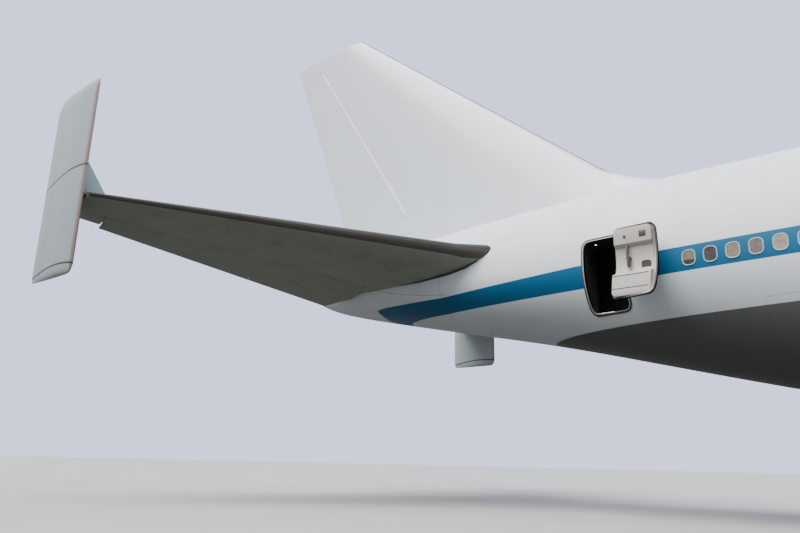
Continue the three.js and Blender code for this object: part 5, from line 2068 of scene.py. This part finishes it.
def window_stations():
    """The cabin windows' stations, with none at the doors."""
    for number in range(92):
        station = LAST_WINDOW - number * WINDOW_PITCH
        if all(abs(station - door) > 0.85 for door in DOOR_STATIONS):
            yield station


def cabin_windows(skin):
    pattern = window_pattern(0.33, 0.4, 0.13)
    spots = [(station, WINDOW_HEIGHT) for station in window_stations()]
    spots += [(station, 8.3) for station in (8.4, 8.91, 9.42)]
    for word, sign in SIDES:
        copies = []
        for station, height in spots:
            spot, normal = skin_spot(skin, station, sign, height)
            copies.append(moved(copy_of(pattern, "window"), set_on(spot, normal)))
        windows = joined(copies, "cabin_windows_" + word)
        finished(windows, AIRFRAME, "body_paint", None, smooth=30)
    bpy.data.objects.remove(pattern)


def glass_panes(nose):
    """The cockpit's panes, cut to lie on the nose's skin."""
    front = [(0.05, 7.62), (0.98, 7.5), (1.08, 8.12), (0.05, 8.28)]
    sides = [
        [(3.72, 7.42), (4.42, 7.42), (4.42, 8.05), (4.05, 8.05)],
        [(4.5, 7.42), (5.16, 7.45), (5.1, 8.02), (4.5, 8.05)],
    ]
    shapes = [([place(2.7, -side, height) for side, height in front], AFT * 0.75)]
    shapes += [
        ([place(station, -3, height) for station, height in corners], OUT * 0.9)
        for corners in sides
    ]
    panes = []
    for corners, step in shapes:
        open_mesh()
        slab(corners, step)
        pane = close_mesh("pane")
        panes.append(carve(pane, nose, "INTERSECT", keep_cutter=True))
    glass = joined(panes, "cockpit_panes")
    both_sides(glass, "cockpit_panes_{}", AIRFRAME, "body_paint", PAINT["cockpit"])


# The open door behind the wing on the right, and the vestibule behind it

HINGE_STATION = DOOR["station"] - DOOR["width"] / 2 + 0.01
HINGE_SIDE = -3.12
DOOR_SKIN = 0.06


def opened(thing):
    """Swings a closed door's part half round its hinge line."""
    pivot = Matrix.Translation(place(HINGE_STATION, HINGE_SIDE, 0))
    return moved(thing, pivot @ Matrix.Rotation(math.pi, 4, "Z") @ pivot.inverted())


# How far each ring round the doorway stands proud, how far it reaches out and in, and its finish
DOORWAY_RINGS = {
    "seal": (0.015, 0.065, 0.02, "seal"),
    "lip": (0.012, 0.02, 0, "gear"),
    # The reveal is near black, as painted shade in the opening.
    "reveal": (-0.06, 0.045, 0, "dark"),
}


def door_frame():
    """A dark strip in the seal finish and a grey lip round the doorway, and behind them the reveal, painted
    near black as shade.
    """
    solids = {}
    for name, (proud, *_) in DOORWAY_RINGS.items():
        shell = body_skin(proud)
        solids[name] = slice_of(shell, name + "_limit", 52.6, 56.6, fill=True)
        bpy.data.objects.remove(shell)
    for name, (_, outer, inner, paint) in DOORWAY_RINGS.items():
        ring = doorway_cutter(DOOR["station"], outer, -3.4, -2.0)
        carve(ring, doorway_cutter(DOOR["station"], inner, -3.6, -1.8))
        carve(ring, solids[name], "INTERSECT", keep_cutter=True)
        if name != "reveal":
            carve(ring, solids["reveal"], keep_cutter=True)
        ring.name = "door_" + name
        fitting(ring, paint, smooth=30)
    for solid in solids.values():
        bpy.data.objects.remove(solid)


def vestibule():
    """The dark space inside the doorway, with its floor, sill plate, a locker and a lamp; its walls are
    painted near black as shade.
    """
    open_mesh()
    block(place(55.6, -2.05, 5.12), place(53.7, -0.9, 7.3))
    pick_faces(lambda spot, normal: normal.y < -0.9)
    bpy.ops.mesh.delete(type="FACE")
    walls = close_mesh("vestibule")
    apply(walls, "SOLIDIFY", thickness=0.02, offset=1)
    # Near-black walls: painted shade inside the doorway.
    fitting(walls, "dark")
    open_mesh()
    block(place(55.12, -2.4, 5.172), place(54.12, -2.02, 5.195))
    sill = softened(close_mesh("door_sill"), 0.004, 2)
    fitting(sill, "bare")
    open_mesh()
    lathe(place(54.98, -2.45, 7.099), -UP, [(0, 0), (0, 0.012), (0.006, 0.01), (0.009, 0)], 24)
    fitting(close_mesh("ceiling_lamp"), "lit")
    open_mesh()
    block(place(54.0, -1.95, 5.2), place(53.85, -1.0, 7.2))
    for height in (5.8, 6.4, 6.9):
        block(place(54.03, -1.9, height), place(53.99, -1.1, height + 0.03))
    fitting(close_mesh("vestibule_locker"), "seal")


def door_panel(skin):
    """The door's own skin with a thin dark edge, and the rubber bead round its inner face."""
    for name, thick, inner, node in (
        ("door_skin", DOOR_SKIN, None, ["door"]),
        ("door_bead", DOOR_SKIN + 0.03, -0.045, []),
    ):
        shell = slice_of(skin, name, 53.6, 55.8)
        apply(shell, "SOLIDIFY", thickness=thick / 2, offset=-1)
        carve(shell, doorway_cutter(DOOR["station"], -0.01, -3.4, -1.8), "INTERSECT")
        if inner:
            carve(shell, doorway_cutter(DOOR["station"], inner, -3.6, -1.6))
        for paint in ("seal",) if inner else ("body", "seal", "lining"):
            shell.data.materials.append(PAINT[paint])
        if not inner:
            reopen(shell)
            for index, test in (
                (1, lambda spot, normal: abs(normal.y) < 0.6),
                (2, lambda spot, normal: normal.y > 0.6),
            ):
                pick_faces(test)
                shell.active_material_index = index
                bpy.ops.object.material_slot_assign()
            leave_mesh()
        finished(opened(shell), AIRFRAME, "body_paint", None, *node, smooth=40)


# The lining's outline across the door, from its top down: side and height
LINING_OUTSIDE = [
    (3.47, 7.09),
    (3.53, 7.04),
    (3.54, 6.63),
    (3.52, 6.6),
    (3.45, 6.54),
    (3.44, 6.3),
    (3.46, 6.05),
    (3.54, 5.87),
    (3.68, 5.83),
    (3.76, 5.78),
    (3.86, 5.3),
    (3.86, 5.18),
]
LINING_INSIDE = [(3.78, 5.18), (3.45, 5.7), (3.34, 6.0), (3.31, 6.4), (3.34, 6.8), (3.38, 7.09)]
DOOR_REAR = 2 * HINGE_STATION - (DOOR["station"] - DOOR["width"] / 2)
DOOR_MIDWAY = DOOR_REAR - DOOR["width"] / 2
FLANGE = 0.05  # the strip of bare door ahead of the lining


def door_lining():
    open_mesh()
    outline = LINING_OUTSIDE + LINING_INSIDE
    corners = [place(DOOR_MIDWAY - 0.7, -side, height) for side, height in outline]
    slab(corners, AFT * 0.7)
    lining = close_mesh("door_lining")
    limit = doorway_cutter(DOOR_MIDWAY + FLANGE / 2, -0.055, -4.4, -3.0, FLANGE)
    carve(lining, limit, "INTERSECT")
    softened(lining, 0.012, 3, 25)
    fitting(lining, "lining", smooth=50)


def door_fittings():
    """Handle, window, vent, lock plate, bustle seams and hinge arms of the open door."""
    at = lambda share, side, height: place(DOOR_REAR - share * DOOR["width"], -side, height)
    open_mesh()
    bar(at(0.34, 3.52, 6.56), at(0.355, 3.54, 6.2), 0.016, sides=12)
    bar(at(0.34, 3.42, 6.55), at(0.34, 3.525, 6.56), 0.013, sides=12)
    bar(at(0.36, 3.42, 6.24), at(0.36, 3.545, 6.24), 0.028, sides=20)
    beam(at(0.36, 3.545, 6.27), at(0.375, 3.56, 6.0), 0.026, 0.045)
    fitting(softened(close_mesh("door_handle"), 0.003, 2), "brass")
    open_mesh()
    lathe(at(0.3, 3.53, 6.81), -OUT, [(0, 0), (0, 0.02), (0.012, 0.018), (0.014, 0)], 20)
    fitting(close_mesh("door_gauge"), "seal")
    open_mesh()
    beam(at(0.71, 3.53, 6.83), at(0.71, 3.555, 6.83), 0.085, 0.075)
    plate = softened(close_mesh("door_plate"), 0.004, 2)
    fitting(plate, "olive")
    open_mesh()
    rounded(at(0.74, 3.46, 6.02), 0.115, 0.11, 0.03, -AFT, UP)
    extrude((0, -0.026, 0))
    bpy.ops.mesh.inset(thickness=0.01)
    shift((0, 0.006, 0))
    face_outwards()
    fitting(close_mesh("door_window_frame"), "brass")
    open_mesh()
    rounded(at(0.74, 3.49, 6.02), 0.095, 0.09, 0.022, -AFT, UP)
    extrude((0, -0.006, 0))
    face_outwards()
    fitting(close_mesh("door_window_pane"), "door_pane")
    open_mesh()
    for height, side in ((5.42, 3.838), (5.76, 3.768)):
        start = at(0.06, side, height)
        beam(start, start - AFT * 0.8 * DOOR["width"] / 2, 0.004, 0.008)
    fitting(close_mesh("bustle_straps"), "seal")
    open_mesh()
    jamb = DOOR["station"] - DOOR["width"] / 2 + 0.036
    for height in (DOOR["sill"] + 0.68, DOOR["sill"] + 1.53):
        elbow = place(jamb - 0.04, -3.22, height)
        bar(place(jamb, -2.6, height), elbow, 0.017, sides=16)
        bar(elbow, place(HINGE_STATION - 0.25, -3.31, height), 0.017, sides=16)
        bar(elbow - UP * 0.03, elbow + UP * 0.03, 0.024, sides=16)
    fitting(close_mesh("door_arms"), "bare", smooth=40)


# The struts on the back

FRONT_PAD = {"station": 18.3, "height": 11.35}
REAR_PAD = {"station": 41.9, "side": 2.45, "height": 10.05}
PAD_HALF = 0.26


def strut_tube(start, end, radius):
    """A tube with a collar and a forked fitting at each end."""
    along = (end - start).normalized()
    bar(start, end, radius, sides=28)
    for spot, way in ((start, 1), (end, -1)):
        bar(spot + along * way * radius, spot + along * way * radius * 2.4, radius * 1.22, sides=28)


def strut_pad(station, side, height):
    """The plate that the load stands on, with its ball socket and bolts."""
    low = place(station + PAD_HALF, side - PAD_HALF, height - 0.22)
    high = place(station - PAD_HALF, side + PAD_HALF, height - 0.08)
    block(low, high)
    top = place(station, side, height - 0.08)
    bar(top, top + UP * 0.04, 0.1, 0.085, sides=32)
    for x_way in (-1, 1):
        for y_way in (-1, 1):
            bolt = top + Vector((x_way, y_way, 0)) * PAD_HALF * 0.38
            bar(bolt, bolt + UP * 0.012, 0.014, sides=6)


def skin_top(station, side):
    """The place on the skin straight below a point above the body."""
    return skin.ray_cast(place(station, side, 14), -UP)[1]


def strut_leg(station, side, top, radius, length, width):
    """A strut from the skin up to a pad, with a foot that fairs it into the skin."""
    spot = skin_top(station, side)
    strut_tube(spot - (top - spot).normalized() * 0.12, top, radius)
    ball(spot, length / 2, width / 2, 0.08, segments=32)


def struts():
    station, height = FRONT_PAD["station"], FRONT_PAD["height"]
    open_mesh()
    strut_pad(station, 0, height)
    for way in (LEFT, RIGHT):
        strut_leg(station, way * 1.0, place(station, way * 0.12, height - 0.14), 0.065, 0.5, 0.34)
    strut_leg(station + 2.0, 0, place(station, 0, height - 0.16), 0.05, 0.5, 0.3)
    front = softened(close_mesh("front_strut_frame"), 0.004, 2, 50)
    finished(front, AIRFRAME, "strut_paint", PAINT["strut"], "front_strut")
    station, side, height = REAR_PAD["station"], -REAR_PAD["side"], REAR_PAD["height"]
    open_mesh()
    strut_pad(station, side, height)
    top = place(station, side, height - 0.16)
    strut_leg(station, side, top, 0.085, 0.56, 0.4)
    strut_leg(station, -1.0, top, 0.055, 0.4, 0.3)
    strut_leg(station - 1.75, side, top, 0.055, 0.46, 0.34)
    rear = softened(close_mesh("rear_strut_frame"), 0.004, 2, 50)
    node = "rear_strut_{}"
    both_sides(rear, node + "_frame", AIRFRAME, "strut_paint", PAINT["strut"], node)


# Small fittings: seals, aerials, lamps, probes, drains, wicks and the tail's exhaust

# The rubber strip round the tailplane's root: station and height on the skin
ROOT_SEAL_RADIUS = 0.019
ROOT_SEAL = [
    (58.46, 7.69),
    (58.55, 7.62),
    (58.7, 7.49),
    (58.93, 7.33),
    (59.39, 7.17),
    (60.1, 7.09),
    (61.36, 7.06),
    (62.58, 7.12),
    (63.71, 7.17),
]
# Station, whether it stands on top, its height and its length
AERIALS = [(12.6, True, 0.42, 0.5), (29.0, True, 0.42, 0.5), (13.2, False, 0.4, 0.5), (44.2, False, 0.4, 0.5)]
DRAINS = [(18.6, 0.3, 0.3), (47.6, 0.34, 0.3)]
WICK = 0.1
TIP_LAMPS = {"left": "red", "right": "green"}


def root_seals():
    spots = []
    for station, height in ROOT_SEAL:
        spot, normal = skin_spot(skin, station, RIGHT, height)
        spots.append(spot + normal * 0.004)
    open_mesh()
    hose(spots, ROOT_SEAL_RADIUS)
    both_sides(close_mesh("root_seal"), "root_seal_{}", AIRFRAME, "body_paint", PAINT["seal"])


def fin_blade(name, station, way, reach, length):
    """A small swept blade that stands on the body's centre line, on top or below."""
    foot = skin.ray_cast(place(station, 0, 6 + way * 9), -UP * way)[1]
    sections = [
        {"lead": foot - UP * way * 0.02, "chord": length, "thick": 0.16},
        {
            "lead": foot + UP * way * reach / 2 + AFT * length * 0.25,
            "chord": length * 0.45,
            "thick": 0.16,
        },
    ]
    return panel(name, sections, upright=True)


def blades_and_beacons():
    blades = [
        fin_blade("aerial", station, 1 if on_top else -1, reach, length)
        for station, on_top, reach, length in AERIALS
    ]
    fitting(joined(blades, "blade_aerials"), "white")
    masts = [fin_blade("mast", station, -1, reach, length) for station, reach, length in DRAINS]
    fitting(joined(masts, "drain_masts"), "bare")
    dome = [(-0.02, 0), (-0.02, 0.07), (0.01, 0.07), (0.03, 0.062), (0.055, 0.04), (0.066, 0)]
    for name, station, way in (("beacon_top", 31.5, 1), ("beacon_low", 43.0, -1)):
        open_mesh()
        foot = skin.ray_cast(place(station, 0, 6 + way * 9), -UP * way)[1]
        lathe(foot, UP * way, dome, 28)
        fitting(close_mesh(name), "red")


def wing_lamps():
    """Tip lamps, red on the left and green on the right, and white ones at the roots."""
    for word, sign in SIDES:
        open_mesh()
        spot = place(45.2, sign * 29.58, wing_height(29.58))
        ball(spot, 0.07, 0.045, 0.035)
        finished(close_mesh("tip_lamp_" + word), AIRFRAME, "wing_paint", PAINT[TIP_LAMPS[word]])
        open_mesh()
        for side in (4.1, 4.75):
            spot = place(wing_lead(side) + 0.04, sign * side, wing_height(side) - 0.03)
            ball(spot, 0.035, 0.11, 0.08)
        finished(close_mesh("landing_lamps_" + word), AIRFRAME, "wing_paint", PAINT["clear"])


def wicks(hinge, sections, shares, body, slot, both=True):
    """Thin discharge wicks along a control surface's trailing edge."""
    open_mesh()
    for share in shares:
        start = chord_spot(sections, share, 1) - AFT * 0.01
        bar(start, start + AFT * WICK, 0.003, 0.002, sides=6)
    name = body + "_wicks"
    thing = hinge.drooped(close_mesh(name))
    if both:
        both_sides(thing, name, body, slot, PAINT["seal"])
    else:
        finished(thing, body, slot, PAINT["seal"])


def discharge_wicks():
    wing = [wing_section(row) for row in WING_ROWS[1:3]]
    label = "aileron_outer_{}"
    wicks(aileron_hinges["aileron_outer"], wing, (0.7, 0.78, 0.86, 0.94), label, "wing_paint")
    label = "elevator_outer_{}"
    hinge = elevator_hinges["elevator_outer"]
    wicks(hinge, TAIL_SECTIONS, (0.66, 0.74, 0.82, 0.89), label, "tail_paint")
    label = "rudder_upper"
    hinge = rudder_hinges[label]
    wicks(hinge, FIN_SECTIONS, (0.6, 0.7, 0.8, 0.9), label, "tail_paint", both=False)


def probes():
    """Air data probes on both sides of the nose."""
    open_mesh()
    for station, height in ((2.6, 4.55), (2.75, 5.0), (3.6, 4.3)):
        spot, normal = skin_spot(skin, station, RIGHT, height)
        tip = spot + normal * 0.07
        bar(spot - normal * 0.01, tip, 0.012, 0.008, sides=12)
        bar(tip - AFT * 0.005, tip - AFT * 0.1, 0.008, 0.005, sides=12)
    both_sides(close_mesh("probes"), "probes_{}", AIRFRAME, "body_paint", PAINT["bare"])


def tail_exhaust():
    """The small exhaust at the tip of the body."""
    open_mesh()
    tube = [(-0.1, 0.0), (-0.1, 0.12), (0.06, 0.105), (0.06, 0.09), (-0.06, 0.09), (-0.06, 0.0)]
    lathe(place(68.5, 0, 7.96), AFT, tube, 40)
    finished(close_mesh("tail_exhaust"), AIRFRAME, "engine_metal", PAINT["hot"])


root_seals()
blades_and_beacons()
wing_lamps()
discharge_wicks()
probes()
tail_exhaust()


nose = slice_of(skin, "nose_solid", 0.5, 8.0, fill=True)
cabin_windows(skin)
glass_panes(nose)
bpy.data.objects.remove(nose)
door_frame()
vestibule()
door_panel(skin)
door_lining()
door_fittings()
struts()


rest()
bpy.data.objects.remove(skin)
size = {"cad": cad_box, "visual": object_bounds()}
{name: [list(corner) for corner in box] for name, box in size.items()}
